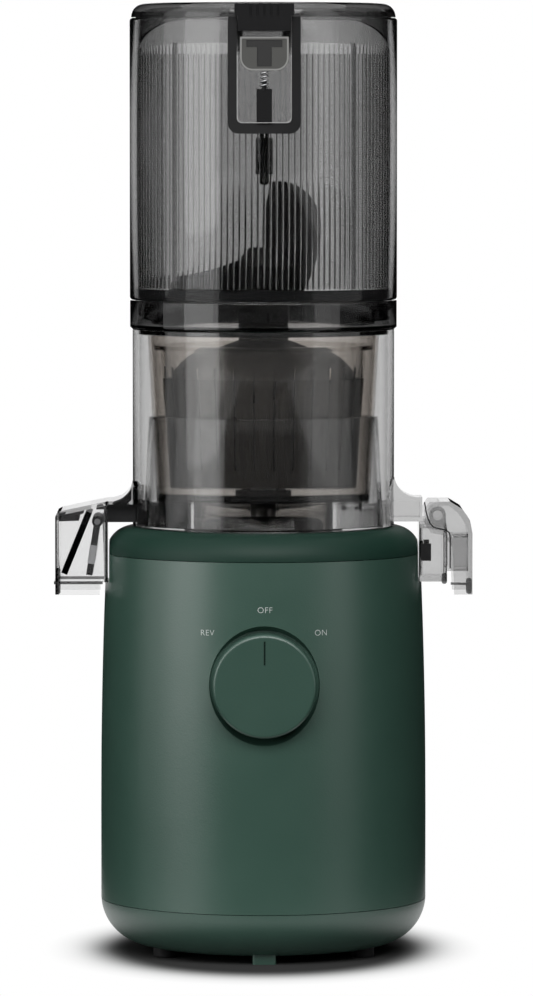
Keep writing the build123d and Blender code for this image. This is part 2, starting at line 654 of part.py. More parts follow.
def motor_screws():
    r, head_r, head, bite = MOTOR_SCREW
    ear_top = BELL_Z[0] + EAR_THICK
    one = cyl(head_r, ear_top, ear_top + head) + cyl(r, BELL_Z[0] - MOUNT_HEIGHT - bite, ear_top)
    return Compound(children=[Pos(x, y, 0) * one for x, y in EAR_PLACES])


def motor_rotor():
    rotor = tube(ROTOR_R, MOTOR_SHAFT_R, *STATOR_Z)
    rings = tube(ROTOR_R - 1, ROTOR_R - 5, STATOR_Z[0] - 2.5, STATOR_Z[1] + 2.5)
    return rotor + rings


def motor_shaft():
    shaft = cyl(MOTOR_SHAFT_R, FAN_Z[0], STAGE_ONE_Z[0])
    return shaft + gear(PINION_TEETH, STAGE_ONE_Z[0], STAGE_ONE_Z[1] + 1, 0, 90)


def cooling_fan():
    z0, z1 = FAN_Z
    fan = tube(FAN_R, MOTOR_SHAFT_R, z1 - 1.2, z1) + tube(7, MOTOR_SHAFT_R, z0, z1)
    blade = block(6, FAN_R - 0.5, -0.6, 0.6, z0, z1)
    for k in range(FAN_BLADES):
        fan += Rot(0, 0, 360 * k / FAN_BLADES) * blade
    return fan


# ---------------------------------------------------------------- gearbox
def case_outline(r, z0, z1):
    """Two round pockets side by side, one for each gear axis, joined by their tangents."""
    return cyl(r, z0, z1) + cyl(r, z0, z1, 0, CENTRES) + block(-r, r, 0, CENTRES, z0, z1)


def case_screw_places():
    """Screws round the gearbox, outside the wheels."""
    r = CASE_R + CASE_WALL + 2.5
    return [(-r, 0), (r, 0), (-r, CENTRES), (r, CENTRES)]


def gearbox_case():
    z0 = BELL_Z[1]
    case = case_outline(CASE_R + CASE_WALL, z0, CASE_TOP)
    for x, y in case_screw_places():
        case += cyl(CASE_SCREW[0] + 2.5, z0, CASE_TOP, x, y)
    case -= case_outline(CASE_R, z0 + CASE_FLOOR, CASE_TOP)
    for x, y in case_screw_places():
        case -= cyl(CASE_SCREW[0] + FIT, CASE_TOP - CASE_SCREW[3] - 2, CASE_TOP, x, y)
    case -= cyl(MOTOR_SHAFT_R + 2, z0 - 1, z0 + CASE_FLOOR + 1)
    return case - cyl(AXLE_R, z0, z0 + CASE_FLOOR + 1, 0, CENTRES)


def gearbox_cover():
    top = CASE_TOP + CASE_LID
    cover = case_outline(CASE_R + CASE_WALL, CASE_TOP, top) + cyl(OUTPUT_BEARING_R + 3, CASE_TOP, BOSS_TOP)
    for x, y in case_screw_places():
        cover += cyl(CASE_SCREW[0] + 2.5, CASE_TOP, top, x, y)
    for x, y in board_posts():
        cover += cyl(2.5, CASE_TOP + 1, BOARD_Z, x, y)
    for x, y in case_screw_places():
        cover -= cyl(CASE_SCREW[0] + 0.2, CASE_TOP - 1, top + 1, x, y)
    for z in (CASE_TOP - 1, BOSS_TOP - BEARING_WIDTH - 1):
        cover -= cyl(OUTPUT_BEARING_R + FIT, z, z + BEARING_WIDTH + 2)
    cover -= cyl(OUTPUT_BEARING_R - 2.5, CASE_TOP - 1, BOSS_TOP + 1)
    return cover - cyl(AXLE_R, CASE_TOP - 1, CASE_TOP + 3, 0, CENTRES)


def gearbox_screws():
    r, head_r, head, bite = CASE_SCREW
    top = CASE_TOP + CASE_LID
    one = cyl(head_r, top, top + head) + cyl(r, CASE_TOP - bite, top)
    return Compound(children=[Pos(x, y, 0) * one for x, y in case_screw_places()])


def idler_axle():
    return cyl(AXLE_R, BELL_Z[1] + 1, CASE_TOP + 3, 0, CENTRES)


def idler_gear():
    """Compound wheel: the large wheel takes the motor's pinion, the small one drives the output."""
    half_pitch = 180 / WHEEL_TEETH
    wheel = gear(WHEEL_TEETH, *STAGE_ONE_Z, AXLE_R + FIT, -90 + half_pitch)
    small = gear(PINION_TEETH, STAGE_ONE_Z[1], STAGE_TWO_Z[1] + 1, AXLE_R + FIT, -90)
    return Pos(0, CENTRES, 0) * (wheel + small)


def output_gear():
    half_pitch = 180 / WHEEL_TEETH
    return gear(WHEEL_TEETH, *STAGE_TWO_Z, DRIVE_R, 90 + half_pitch)


def output_bearings():
    places = (CASE_TOP + 1, BOSS_TOP - BEARING_WIDTH)
    return Compound(children=[ball_bearing(OUTPUT_BEARING_R, DRIVE_R + FIT, z) for z in places])


def drive_shaft():
    """Output shaft with a hexagonal upper end that fits the screw's bush."""
    return cyl(DRIVE_R, STAGE_TWO_Z[0] - 1, HEX_Z[0]) + hexagon(DRIVE_R, *HEX_Z)


def board_posts():
    """Posts on the gearbox cover that carry the board."""
    return [(side * x, BOARD_Y + y) for x, y in BOARD_POSTS for side in (-1, 1)]


def control_board():
    width, depth, thick = BOARD_SIZE
    y0, y1 = BOARD_Y - depth / 2, BOARD_Y + depth / 2
    top = BOARD_Z + thick
    board = block(-width / 2, width / 2, y0, y1, BOARD_Z, top)
    r, tall, x, y = CAPACITOR
    board += cyl(r, top, top + tall, x, BOARD_Y + y)
    wide, deep, tall = RELAY
    board += block(2, 2 + wide, BOARD_Y - 2, BOARD_Y - 2 + deep, top, top + tall)
    wide, deep, tall = TERMINALS
    return board + block(-wide / 2, wide / 2, y0 + 2, y0 + 2 + deep, top, top + tall)


# ---------------------------------------------------------------- chamber
def bowl_radius(z):
    """Outer radius of the bowl's cone at a height."""
    share = (z - BOWL_FLOOR_Z) / (COLLAR_Z[0] - BOWL_FLOOR_Z)
    return BOWL_FLOOR_R + share * (BOWL_TOP_R - BOWL_FLOOR_R)


def chamber_bowl():
    z0, z1 = BOWL_FLOOR_Z, COLLAR_Z[0]
    skirt_in = SKIRT_R - SKIRT_WALL
    bowl = tube(SKIRT_R, skirt_in, SKIRT_BOTTOM, z1 + 2)
    bowl += tube(COLLAR_R, COLLAR_R - COLLAR_WALL, z1, COLLAR_Z[1])
    bowl += turned_points([(bowl_radius(z0) - BOWL_WALL, z0), (bowl_radius(z0), z0), (bowl_radius(z1), z1),
                           (bowl_radius(z1) - BOWL_WALL, z1)])
    bowl += tube(COLLAR_R - 1, BOWL_TOP_R - BOWL_WALL, z1 - 2.3, z1 + 2)
    bowl += cyl(bowl_radius(z0) - 1, z0, z0 + BOWL_FLOOR)
    bowl += cyl(TUBE_R, z0, TUBE_TOP)
    bowl += tube(FOOT_RING_R, FOOT_RING_R - 2.4, COVER_TOP + SEAT_FLANGE + CLEAR, z0 + 1)
    r_top, z_top, r_low, z_low = INNER_SKIRT
    r_join = bowl_radius(z_top) - 1.5
    bowl += turned_points([(r_low - 1.8, z_low), (r_low, z_low), (r_top, z_top), (r_join, z_top)])
    for k in range(4):
        bowl += sector(SPIGOT_R + 0.5, COLLAR_R - 1, *LEDGE_Z, LUG_ANGLE + 90 * k, LEDGE_SPAN)
    bowl -= cyl(TUBE_R - TUBE_WALL, z0 - 1, TUBE_TOP + 1)
    duct, pulp = JUICE_DUCT_HALF + 0.1, PULP_DUCT_HALF + 0.1
    bowl -= block(FOOT_RING_R + 1, SKIRT_R + 5, -duct, duct, 200, z0)
    bowl -= block(-SKIRT_R - 5, -FOOT_RING_R - 1, -pulp, pulp, 200, z0)
    bowl -= cyl(5, z0 - 1, z0 + BOWL_FLOOR + 1, BOWL_FLOOR_R - 9, 0)
    bowl -= sector(FOOT_RING_R + 4, BOWL_FLOOR_R - 5, z0 - 1, z0 + BOWL_FLOOR + 1, 180, 28)
    return bowl


def bowl_seal():
    floor = BOWL_FLOOR_Z + BOWL_FLOOR
    return tube(TUBE_R + 3, TUBE_R, floor, floor + 3.5)


def strainer_radius(z):
    """Outer radius of the strainer's cone at a height."""
    share = (z - STRAINER_Z[0]) / (STRAINER_Z[1] - STRAINER_Z[0])
    return STRAINER_FLOOR_R + share * (STRAINER_TOP_R - STRAINER_FLOOR_R)


def strainer():
    z0, z1 = STRAINER_Z
    rim = bowl_radius(z1 - 3) - BOWL_WALL - 0.2
    basket = turned_points([(strainer_radius(z0) - STRAINER_WALL, z0), (strainer_radius(z0), z0),
                            (strainer_radius(z1), z1), (strainer_radius(z1) - STRAINER_WALL, z1)])
    basket += tube(strainer_radius(z0) - 0.5, TUBE_R + 4.5, z0, z0 + 1.8)
    basket += tube(rim, strainer_radius(z1) - STRAINER_WALL, z1 - 2, z1)
    slot = block(STRAINER_FLOOR_R - 5, STRAINER_TOP_R + 2, -0.5, 0.5, z0 + 8, z1 - 10)
    angles = [360 * (k + 0.5) / STRAINER_SLOTS for k in range(STRAINER_SLOTS)]
    basket -= Compound(children=[Rot(0, 0, angle) * slot for angle in angles])
    return basket - sector(FOOT_RING_R + 4, STRAINER_FLOOR_R - 3, z0 - 1, z0 + 3, 180, 26)


def screw():
    """Pressing screw: a core with helical flights under a domed shoulder and a neck."""
    z0, waist, top = SCREW_BOTTOM, SHOULDER_Z - 12, SHOULDER_Z
    neck_foot = (SCREW_NECK_R, top + 18)
    core = turned(
        Polyline((0, z0), (CORE_BOTTOM_R, z0), (CORE_WAIST_R, waist), (SHOULDER_TOP_R, waist + 5),
                 (SHOULDER_TOP_R, top)),
        ThreePointArc((SHOULDER_TOP_R, top), (SHOULDER_TOP_R - 8, top + 10), (SCREW_NECK_R + 10, top + 14.5)),
        Polyline((SCREW_NECK_R + 10, top + 14.5), neck_foot, (SCREW_NECK_R, SCREW_TOP), (0, SCREW_TOP),
                 (0, z0)),
    )
    height = waist + 4 - z0 - FLIGHT_THICK
    mean = (CORE_BOTTOM_R + CORE_WAIST_R) / 2
    path = Helix(FLIGHT_PITCH, height, mean)
    reach = FLIGHT_R - mean
    section = Plane(origin=(mean, 0, 0), x_dir=(1, 0, 0), z_dir=(0, 1, 0)) * (
        Pos(reach / 2 - 3, 0) * Rectangle(reach + 6, FLIGHT_THICK))
    flight = sweep(section, path, is_frenet=True)
    for k in range(FLIGHTS):
        core += Pos(0, 0, z0 + FLIGHT_THICK) * Rot(0, 0, 360 * k / FLIGHTS) * flight
    core -= cyl(60, z0 - 20, z0)
    core -= cyl(TUBE_R + 1.2, z0 - 1, TUBE_TOP + 2)
    core -= cyl(bush_r(), TUBE_TOP, HEX_Z[1] + 6)
    return core - sector(SCREW_NECK_R + 8, SHOULDER_TOP_R + 5, waist - 3, top + 20, 75, 70)


def bush_r():
    """Outer radius of the metal bush in the screw."""
    return DRIVE_R + 3.5


def drive_bush():
    bush = cyl(bush_r(), TUBE_TOP + 2.5, HEX_Z[1] + 6)
    return bush - hexagon(DRIVE_R + 0.1, TUBE_TOP, HEX_Z[1] + 3)


def cutting_wing():
    """Hub on the screw's neck with one tall curved paddle and one low wing."""
    z0, z1 = WING_HUB_Z
    hub = cyl(WING_HUB_R, z0, z1 - 6)
    hub += Pos(0, 0, z1 - 6) * Cone(WING_HUB_R, WING_HUB_R - 8, 9, align=LOW)
    floor = FLOOR_PLATE_Z[1] + 1
    heel, brow = (PADDLE_REACH - 9, floor), (PADDLE_REACH, floor + 30)
    paddle = make_face(Curve() + [
        Polyline((0, floor), heel),
        ThreePointArc(heel, (PADDLE_REACH - 1.5, floor + 18), brow),
        ThreePointArc(brow, (PADDLE_REACH - 6, floor + 45), (4.2, PADDLE_TOP)),
        ThreePointArc((4.2, PADDLE_TOP), (0.5, PADDLE_TOP - 14), (0, z1 + 2)),
        Line((0, z1 + 2), (0, floor)),
    ])
    wing = make_face(Curve() + [
        Line((0, floor), (-WING_REACH, floor)),
        ThreePointArc((-WING_REACH, floor), (-WING_REACH + 1, floor + 5), (-WING_REACH + 4, floor + 7.4)),
        ThreePointArc((-WING_REACH + 4, floor + 7.4), (-WING_REACH / 2, floor + 11.4), (-12, floor + 15)),
        Polyline((-12, floor + 15), (0, z1), (0, floor)),
    ])
    blade = extrude(Plane.XZ * paddle, PADDLE_THICK / 2, both=True)
    wings = extrude(Plane.XZ * wing, WING_THICK / 2, both=True)
    shape = hub + blade + wings
    return shape - cyl(SCREW_NECK_R, z0 - 1, SCREW_TOP + 1) - cyl(SCREW_NECK_R - 3, z0 - 1, z1 - 4)


# ---------------------------------------------------------------- juice spout
def skirt_web(foot, floor, half):
    """Web that climbs the chamber's skirt in a hollow arc, from foot (x, z), with its underside at floor."""
    x, z = foot
    top = z + FLARE_RISE
    bend = (x - (x - SKIRT_R) / sqrt(2), top - FLARE_RISE / sqrt(2))
    face = make_face(Curve() + [
        Polyline((SKIRT_R - 10, top), (SKIRT_R - 10, floor), (x, floor), foot),
        ThreePointArc(foot, bend, (SKIRT_R, top)),
        Line((SKIRT_R, top), (SKIRT_R - 10, top)),
    ])
    return extrude(Plane.XZ * face, half, both=True) - cyl(SKIRT_R + FIT, floor - 1, top + 1)


def juice_spout():
    x0, x1 = SPOUT_X
    z0, z1 = SPOUT_Z
    low, high = JUICE_DUCT_Z
    half = JUICE_DUCT_HALF
    body = block(x0, x1, -SPOUT_HALF, SPOUT_HALF, z0, z1)
    body = fillet(body.edges().filter_by(Axis.Z), 2.5)
    body += block(FOOT_RING_R + 1.5, x0 + 1.6, -half, half, low, high)
    px, pz = CAP_PIVOT
    body += rod_y(CAP_PIVOT_R, -SPOUT_HALF, SPOUT_HALF, px, pz)
    body += block(px - CAP_PIVOT_R, px + CAP_PIVOT_R, -SPOUT_HALF, SPOUT_HALF, z1 - 4, pz)
    body += block(x0, px, -half, half, z1 - 3, low + 1.5)
    body += skirt_web((x0 + 1, high), high - 0.5, FLARE_HALF)
    w = SPOUT_WALL
    body -= block(FOOT_RING_R + 3.5, x0 + 0.2, -half + w, half - w, low + w, high - w)
    body -= block(x0 - 1, x0 + 0.6, -half + w, half - w, low + w, high - w)
    body -= block(x0 + w, x1 - w, -SPOUT_HALF + w, SPOUT_HALF - w, z0 + w, z1 - w)
    body -= block(x1 - w - 1, x1 + 1, -MOUTH_HALF, MOUTH_HALF, *MOUTH_Z)
    body -= rod_y(CAP_PIN_R + FIT, -SPOUT_HALF - 1, SPOUT_HALF + 1, px, pz)
    hole_x = BOWL_FLOOR_R - 9
    return body - cyl(5, high - w - 1, high + 1, hole_x, 0)


def spout_packing():
    """Two soft plugs that close the moulding's side ports."""
    x0 = SPOUT_X[0] + 0.6
    z0 = MOUTH_Z[0] + 3.6
    plugs = []
    for side in (-1, 1):
        y = sorted((side * SPOUT_HALF, side * (SPOUT_HALF + 1.8)))
        plugs.append(block(x0, x0 + 5, *y, z0, z0 + 8.2))
    return Compound(children=plugs)


def cap_profile(inset):
    """Side view of the cap: an arm over the pivot and a plate in front of the mouth."""
    px, pz = CAP_PIVOT
    end, top, bottom = CAP_END_X - inset, CAP_TOP - inset, CAP_BOTTOM - (1 if inset else 0)
    neck = SPOUT_X[1] + 2.3
    return [(px - 6.5, top - 4), (px - 4, top), (px + 6, top), (end - 5, top - 3.5), (end - 1.2, top - 9),
            (end, top - 15), (end, bottom), (neck + 1, bottom), (neck, top - 22), (neck - 4, top - 16),
            (px - 3, top - 15), (px - 6, top - 11)]


def juice_cap():
    px, pz = CAP_PIVOT
    inner = CAP_HALF - CAP_WALL
    cap = extruded_y(cap_profile(0), CAP_HALF)
    hollow = extruded_y([(px - 12, CAP_TOP - CAP_WALL), (px + 5.5, CAP_TOP - CAP_WALL),
                         (CAP_END_X - CAP_WALL - 5, CAP_TOP - CAP_WALL - 3.2),
                         (CAP_END_X - CAP_WALL - 0.6, CAP_TOP - 12), (CAP_END_X - CAP_WALL, CAP_TOP - 16),
                         (CAP_END_X - CAP_WALL, CAP_BOTTOM - 1), (px - 12, CAP_BOTTOM - 1)], inner)
    cap -= hollow
    cap -= block(px - 12, px + 1, -inner, inner, pz, CAP_TOP + 1)
    return cap - rod_y(CAP_PIN_R, -CAP_HALF - 1, CAP_HALF + 1, px, pz)


def cap_pin():
    return rod_y(CAP_PIN_R, -CAP_HALF, CAP_HALF, *CAP_PIVOT)


def cap_seal():
    """Soft plug on the cap that closes the mouth."""
    half = MOUTH_HALF + 2
    z0, z1 = MOUTH_Z
    seal = block(SPOUT_X[1] + CLEAR, CAP_END_X - CAP_WALL, -half, half, z0 - 2, z1 + 2)
    seal = fillet(seal.edges().filter_by(Axis.X), 2)
    return seal - block(SPOUT_X[1] + CLEAR + 3, CAP_END_X, -half + 2, half - 2, z0, z1)


# ---------------------------------------------------------------- pulp spout
def hood_outline(inset):
    """Side view of the hood, moved in by inset: its roof falls away from the chamber."""
    x0, x1 = PULP_END_X + inset, -SPOUT_X[0]
    z0, z1 = PULP_Z[0] - (1 if inset else 0), PULP_Z[1] - inset
    fall = HOOD_FALL * (x1 - x0) / (x1 - PULP_END_X)
    return [(x0, z0), (x0, z1 - fall - 3), (x0 + 1, z1 - fall - 1), (x0 + 3, z1 - fall), (x1, z1), (x1, z0)]


def pulp_spout():
    """Clear hood, open below, round the pulp chute."""
    x0, x1 = PULP_END_X, -SPOUT_X[0]
    z0, z1 = PULP_Z
    w = SPOUT_WALL
    hood = block(x0, x1, -PULP_HALF, PULP_HALF, z0, z1)
    hood = fillet(hood.edges().filter_by(Axis.Z), 2.5) & extruded_y(hood_outline(0), PULP_HALF)
    hood -= extruded_y(hood_outline(w), PULP_HALF - w) & block(x0, x1 - w, -PULP_HALF, PULP_HALF, z0 - 1, z1)
    duct_top = PULP_DUCT_Z[1] - DUCT_STEP + 0.1
    hood += mirror(skirt_web((-x1, z1), duct_top, PULP_HALF), Plane.YZ)
    hood -= block(x1 - 8, x1 + 1, -PULP_DUCT_HALF, PULP_DUCT_HALF, PULP_DUCT_Z[0], duct_top)
    hood -= block(-BARREL_R - CLEAR, x1 + 1, -PULP_HALF - 1, PULP_HALF + 1, z0 - 2, SPOUT_Z[0])
    return hood - rod_y(FLAP_PIN_R + FIT, -PULP_HALF - 1, PULP_HALF + 1, *FLAP_PIVOT)


def pulp_chute():
    """Dark duct from the bowl's floor to the flap."""
    low, high = PULP_DUCT_Z
    half, w = PULP_DUCT_HALF - 0.1, SPOUT_WALL
    inner_x, step_x = -FOOT_RING_R - 1.5, -SKIRT_R + 2
    duct = block(step_x, inner_x, -half, half, low, high)
    duct += block(PULP_DUCT_END_X, step_x, -half, half, low, high - DUCT_STEP)
    duct -= block(step_x + w, inner_x - w, -half + w, half - w, low + w, high - w)
    duct -= block(PULP_DUCT_END_X - 1, step_x + w, -half + w, half - w, low + w, high - DUCT_STEP - w)
    return duct - block(-BOWL_FLOOR_R + 5, -FOOT_RING_R - 4, -8, 8, high - w - 1, high + 1)


def slanted_plate(top, bottom, thick, half):
    """Plate between two (x, z) points, from y = -half to +half."""
    dx, dz = bottom[0] - top[0], bottom[1] - top[1]
    length = hypot(dx, dz)
    nx, nz = dz / length * thick / 2, -dx / length * thick / 2
    return extruded_y([(top[0] - nx, top[1] - nz), (top[0] + nx, top[1] + nz),
                       (bottom[0] + nx, bottom[1] + nz), (bottom[0] - nx, bottom[1] - nz)], half)


def pulp_deflector():
    """Fixed slanted plate that turns the pulp down."""
    return slanted_plate(*DEFLECTOR, DEFLECTOR_THICK, PULP_HALF - SPOUT_WALL)


def flap_end(length):
    """Point on the flap, at a distance from its pivot."""
    x, z = FLAP_PIVOT
    return (x - length * sin(radians(FLAP_LEAN)), z - length * cos(radians(FLAP_LEAN)))


def pulp_flap():
    half = PULP_HALF - SPOUT_WALL - 0.6
    plate = slanted_plate(FLAP_PIVOT, flap_end(FLAP_LENGTH), FLAP_THICK, half)
    plate += rod_y(FLAP_PIN_R + 1.2, -half, half, *FLAP_PIVOT)
    return plate - rod_y(FLAP_PIN_R, -half - 1, half + 1, *FLAP_PIVOT)


def flap_pin():
    return rod_y(FLAP_PIN_R, -PULP_HALF, PULP_HALF, *FLAP_PIVOT)


# ---------------------------------------------------------------- hopper
def window_block(half, z0, z1, r_in, r_out, corner=0.0):
    """Part of a cylinder wall at the front, half wide each side, its two lower corners rounded."""
    front = block(-half, half, -r_out - 1, 0, z0, z1)
    if corner:
        front = fillet(front.edges().filter_by(Axis.Y).group_by(Axis.Z)[0], corner)
    return tube(r_out, r_in, z0, z1) & front


def hopper():
    z0, z1 = HOPPER_Z
    r_in = HOPPER_R - HOPPER_WALL
    body = tube(HOPPER_R, r_in, z0, z1)
    body += tube(r_in + 1, SPIGOT_R - 2.4, z0, z0 + 1)
    body += tube(SPIGOT_R, SPIGOT_R - 2.4, LUG_Z[0], z0 + 1)
    for k in range(4):
        body += sector(SPIGOT_R - 1, COLLAR_R - COLLAR_WALL - 0.4, *LUG_Z, LUG_ANGLE + 90 * k, LUG_SPAN)
    for angle in RIB_ANGLES:
        body += sector(r_in - RIB_DEPTH, r_in + 0.5, FLOOR_PLATE_Z[1], RIB_TOP, angle, RIB_SPAN)
    body -= window_block(WINDOW_HALF, WINDOW_BOTTOM, z1 + 1, r_in - 1, HOPPER_R + 1, WINDOW_CORNER_R)
    guide_r = ROD_R + FIT + GUIDE_WALL
    guide = cyl(guide_r, *GUIDE_Z, 0, ROD_Y) + block(-guide_r, guide_r, -HOPPER_R + 1, ROD_Y, *GUIDE_Z)
    body += guide - cyl(ROD_R + FIT, GUIDE_Z[0] - 1, GUIDE_Z[1] + 1, 0, ROD_Y)
    inner = KNUCKLE_HALF + CLEAR
    for side in (-1, 1):
        x = sorted((side * inner, side * (inner + HINGE_EAR)))
        ear = rod_x(KNUCKLE_R, *x, HINGE_Y, HINGE_Z)
        ear += extrude(Plane.YZ.offset(x[0]) * make_face(Polyline(
            (HOPPER_R - 3.5, HINGE_Z - 14), (HINGE_Y + KNUCKLE_R, HINGE_Z - 0.5), (HINGE_Y, HINGE_Z - 0.5),
            (HINGE_Y, HINGE_Z + 1.5), (HOPPER_R - 3.5, HINGE_Z + 1.5), close=True)), HINGE_EAR)
        body += ear - cyl(r_in, z0, z1 + 10)
    return body - rod_x(HINGE_PIN_R + FIT, -30, 30, HINGE_Y, HINGE_Z)


def hopper_floor():
    z0, z1 = FLOOR_PLATE_Z
    floor = cyl(HOPPER_R - HOPPER_WALL - 0.1, z0, z1)
    floor -= cyl(WING_HUB_R + 1.5, z0 - 1, z1 + 1)
    middle, span = sum(FEED_ANGLES) / 2, FEED_ANGLES[1] - FEED_ANGLES[0]
    return floor - sector(*FEED_R, z0 - 1, z1 + 1, middle, span)


def window_frame():
    """Soft U-shaped gasket on the edges of the hopper's window."""
    z0, z1 = WINDOW_BOTTOM, HOPPER_Z[1]
    r_in, r_out = HOPPER_R - HOPPER_WALL, HOPPER_R + FRAME_PROUD
    inner = WINDOW_HALF - FRAME_BAR
    frame = window_block(WINDOW_HALF, z0, z1, r_in, r_out, WINDOW_CORNER_R)
    return frame - window_block(inner, z0 + FRAME_SILL, z1 + 1, r_in - 1, r_out + 1, tongue_corner_r())


def lock_rod():
    rod = cyl(ROD_R, *ROD_Z, 0, ROD_Y)
    return fillet(rod.edges().group_by(Axis.Z)[0], 1.6)


def hinge_pin():
    reach = KNUCKLE_HALF + CLEAR + HINGE_EAR
    return rod_x(HINGE_PIN_R, -reach, reach, HINGE_Y, HINGE_Z)


# ---------------------------------------------------------------- lid
def lid():
    bottom = LID_BOTTOM
    flat = LID_R - LID_EDGE_R

    def dome(inset):
        r = LID_EDGE_R - inset
        corner = (flat + r / sqrt(2), LID_TOP - LID_EDGE_R + r / sqrt(2))
        return turned(
            Line((0, bottom), (flat + r, bottom)),
            Line((flat + r, bottom), (flat + r, LID_TOP - LID_EDGE_R)),
            ThreePointArc((flat + r, LID_TOP - LID_EDGE_R), corner, (flat, LID_TOP - inset)),
            Line((flat, LID_TOP - inset), (0, LID_TOP - inset)),
            Line((0, LID_TOP - inset), (0, bottom)),
        )

    cover = dome(0) - dome(LID_WALL)
    skirt = tube(LID_SKIRT_R, LID_SKIRT_R - LID_WALL, LID_SKIRT_BOTTOM, bottom + 2)
    low, spring, bend, flat_end = [(LID_SKIRT_R - x, LID_SKIRT_BOTTOM + z) for x, z in ARCH]
    arch = extrude(Plane.XZ * make_face(Curve() + [
        Polyline((0, low[1]), low, spring),
        ThreePointArc(spring, bend, flat_end),
        Polyline(flat_end, (0, flat_end[1]), (0, low[1])),
    ]), LID_R + 5)
    arch += mirror(arch, Plane.YZ)
    cover += skirt - arch
    cover += rod_x(KNUCKLE_R, -KNUCKLE_HALF, KNUCKLE_HALF, HINGE_Y, HINGE_Z) & block(
        -20, 20, HINGE_Y - KNUCKLE_R - 1, HINGE_Y + KNUCKLE_R + 1, HINGE_Z - 5, HINGE_Z + 5)
    cover += block(-KNUCKLE_HALF, KNUCKLE_HALF, LID_R - 4, HINGE_Y, bottom + 0.3, bottom + 1.7)
    slot = window_block(tongue_half() + 0.02, LID_SKIRT_BOTTOM, bottom, LID_SKIRT_R - 5, LID_R + 5)
    cover -= slot
    return cover - rod_x(HINGE_PIN_R + FIT, -30, 30, HINGE_Y, HINGE_Z)


def tongue_half():
    """Half width of the tongue that closes the window."""
    return WINDOW_HALF - FRAME_BAR - CLEAR


def tongue_corner_r():
    """Rounding of the tongue's lower corners, which follows the window's."""
    return max(0.5, WINDOW_CORNER_R - 2.5)


def lid_tongue():
    """Clear tongue of the lid that closes the hopper's window."""
    z0, z1 = WINDOW_BOTTOM + FRAME_SILL + CLEAR, LID_BOTTOM
    plate = window_block(tongue_half(), z0, z1, HOPPER_R - HOPPER_WALL, HOPPER_R - 0.2, tongue_corner_r())
    return plate - block(-KEEPER_HALF, KEEPER_HALF, -HOPPER_R - 5, -40, z0 - 1, KEEPER_TOP)


def latch_keeper():
    """Fixed block of the latch at the tongue's lower end, which rests over the lock rod."""
    z0 = WINDOW_BOTTOM + FRAME_SILL + CLEAR
    keeper = block(-KEEPER_HALF, KEEPER_HALF, -HOPPER_R - BUTTON_THICK, ROD_Y + ROD_R, z0, KEEPER_TOP)
    pin_top = BUTTON_Z[0] - BUTTON_TRAVEL - CLEAR
    return keeper + cyl(LATCH_SPRING_R - LATCH_WIRE_R - 0.2, KEEPER_TOP - 1, pin_top, 0, LATCH_SPRING_Y)


def latch_spring():
    """Coil spring between the keeper and the button."""
    length = BUTTON_Z[0] - KEEPER_TOP - 2 * LATCH_WIRE_R - 0.1
    path = Helix(length / LATCH_TURNS, length, LATCH_SPRING_R)
    wire = sweep(Plane(origin=path @ 0, z_dir=path % 0) * Circle(LATCH_WIRE_R), path, is_frenet=True)
    return Pos(0, LATCH_SPRING_Y, KEEPER_TOP + LATCH_WIRE_R + 0.05) * wire


def latch_button():
    """D-shaped push plate on the front of the tongue."""
    z0, z1 = BUTTON_Z
    y0 = -HOPPER_R - 3.6
    y1 = -HOPPER_R + 0.3
    plate = block(-BUTTON_HALF, BUTTON_HALF, y0, y1, z0, z1)
    plate = fillet(plate.edges().filter_by(Axis.Y).group_by(Axis.Z)[0], 6)
    plate -= cyl(HOPPER_R + 0.1, z0 - 1, z1 + 1)
    plate = plate - block(-8.5, 8.5, y0 - 1, y0 + 1.2, z1 - 5, z1 - 1.6)
    return plate - block(-3.5, 3.5, y0 - 1, y0 + 1.2, z0 + 2, z1 - 3)


def latch_cap():
    """Ribbed dark block on top of the lid's front, over the latch."""
    rim = LID_BOTTOM
    top = LID_TOP - 1
    front = -HOPPER_R - 3.4
    cap = block(-LATCH_CAP_HALF, LATCH_CAP_HALF, front, -LID_R + 3, rim, top)
    cap -= cyl(LID_R + FIT, rim - 1, top + 1)
    low = block(-tongue_half(), tongue_half(), front, -HOPPER_R + 3, rim - 7, rim + 1)
    cap += low - cyl(HOPPER_R - 0.2 + FIT, rim - 8, rim + 2)
    for k in range(-2, 3):
        cap -= block(3.2 * k - 0.6, 3.2 * k + 0.6, front - 1, front + 0.8, rim, top + 1)
    return cap


NODES = [
    base_pan, body_shell, top_cover, chamber_seat, shaft_seal, feet, front_foot, base_screws, cord_gland,
    control_knob, switch_shaft, switch_body, switch_screws, motor_stator, stator_windings, motor_lower_bell,
    motor_upper_bell, motor_bearings, motor_mounts, motor_screws, motor_rotor, motor_shaft, cooling_fan,
    gearbox_case, gearbox_cover, gearbox_screws, idler_axle, idler_gear, output_gear, output_bearings,
    drive_shaft, control_board, chamber_bowl, bowl_seal, strainer, screw, drive_bush, cutting_wing,
    juice_spout, spout_packing, juice_cap, cap_pin, cap_seal, pulp_spout, pulp_chute, pulp_deflector,
    pulp_flap, flap_pin, hopper, hopper_floor, window_frame, lock_rod, hinge_pin, lid, lid_tongue,
    latch_keeper, latch_spring, latch_button, latch_cap,
]


def main():
    os.makedirs("parts", exist_ok=True)
    for node in NODES:
        save(node.__name__, node())


main()
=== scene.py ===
"""Cold press juicer: the looks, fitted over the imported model.  Metres, +Z up, front towards -Y."""
import math

import bmesh
import bpy
import numpy as np
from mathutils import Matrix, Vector
from mathutils.geometry import tessellate_polygon


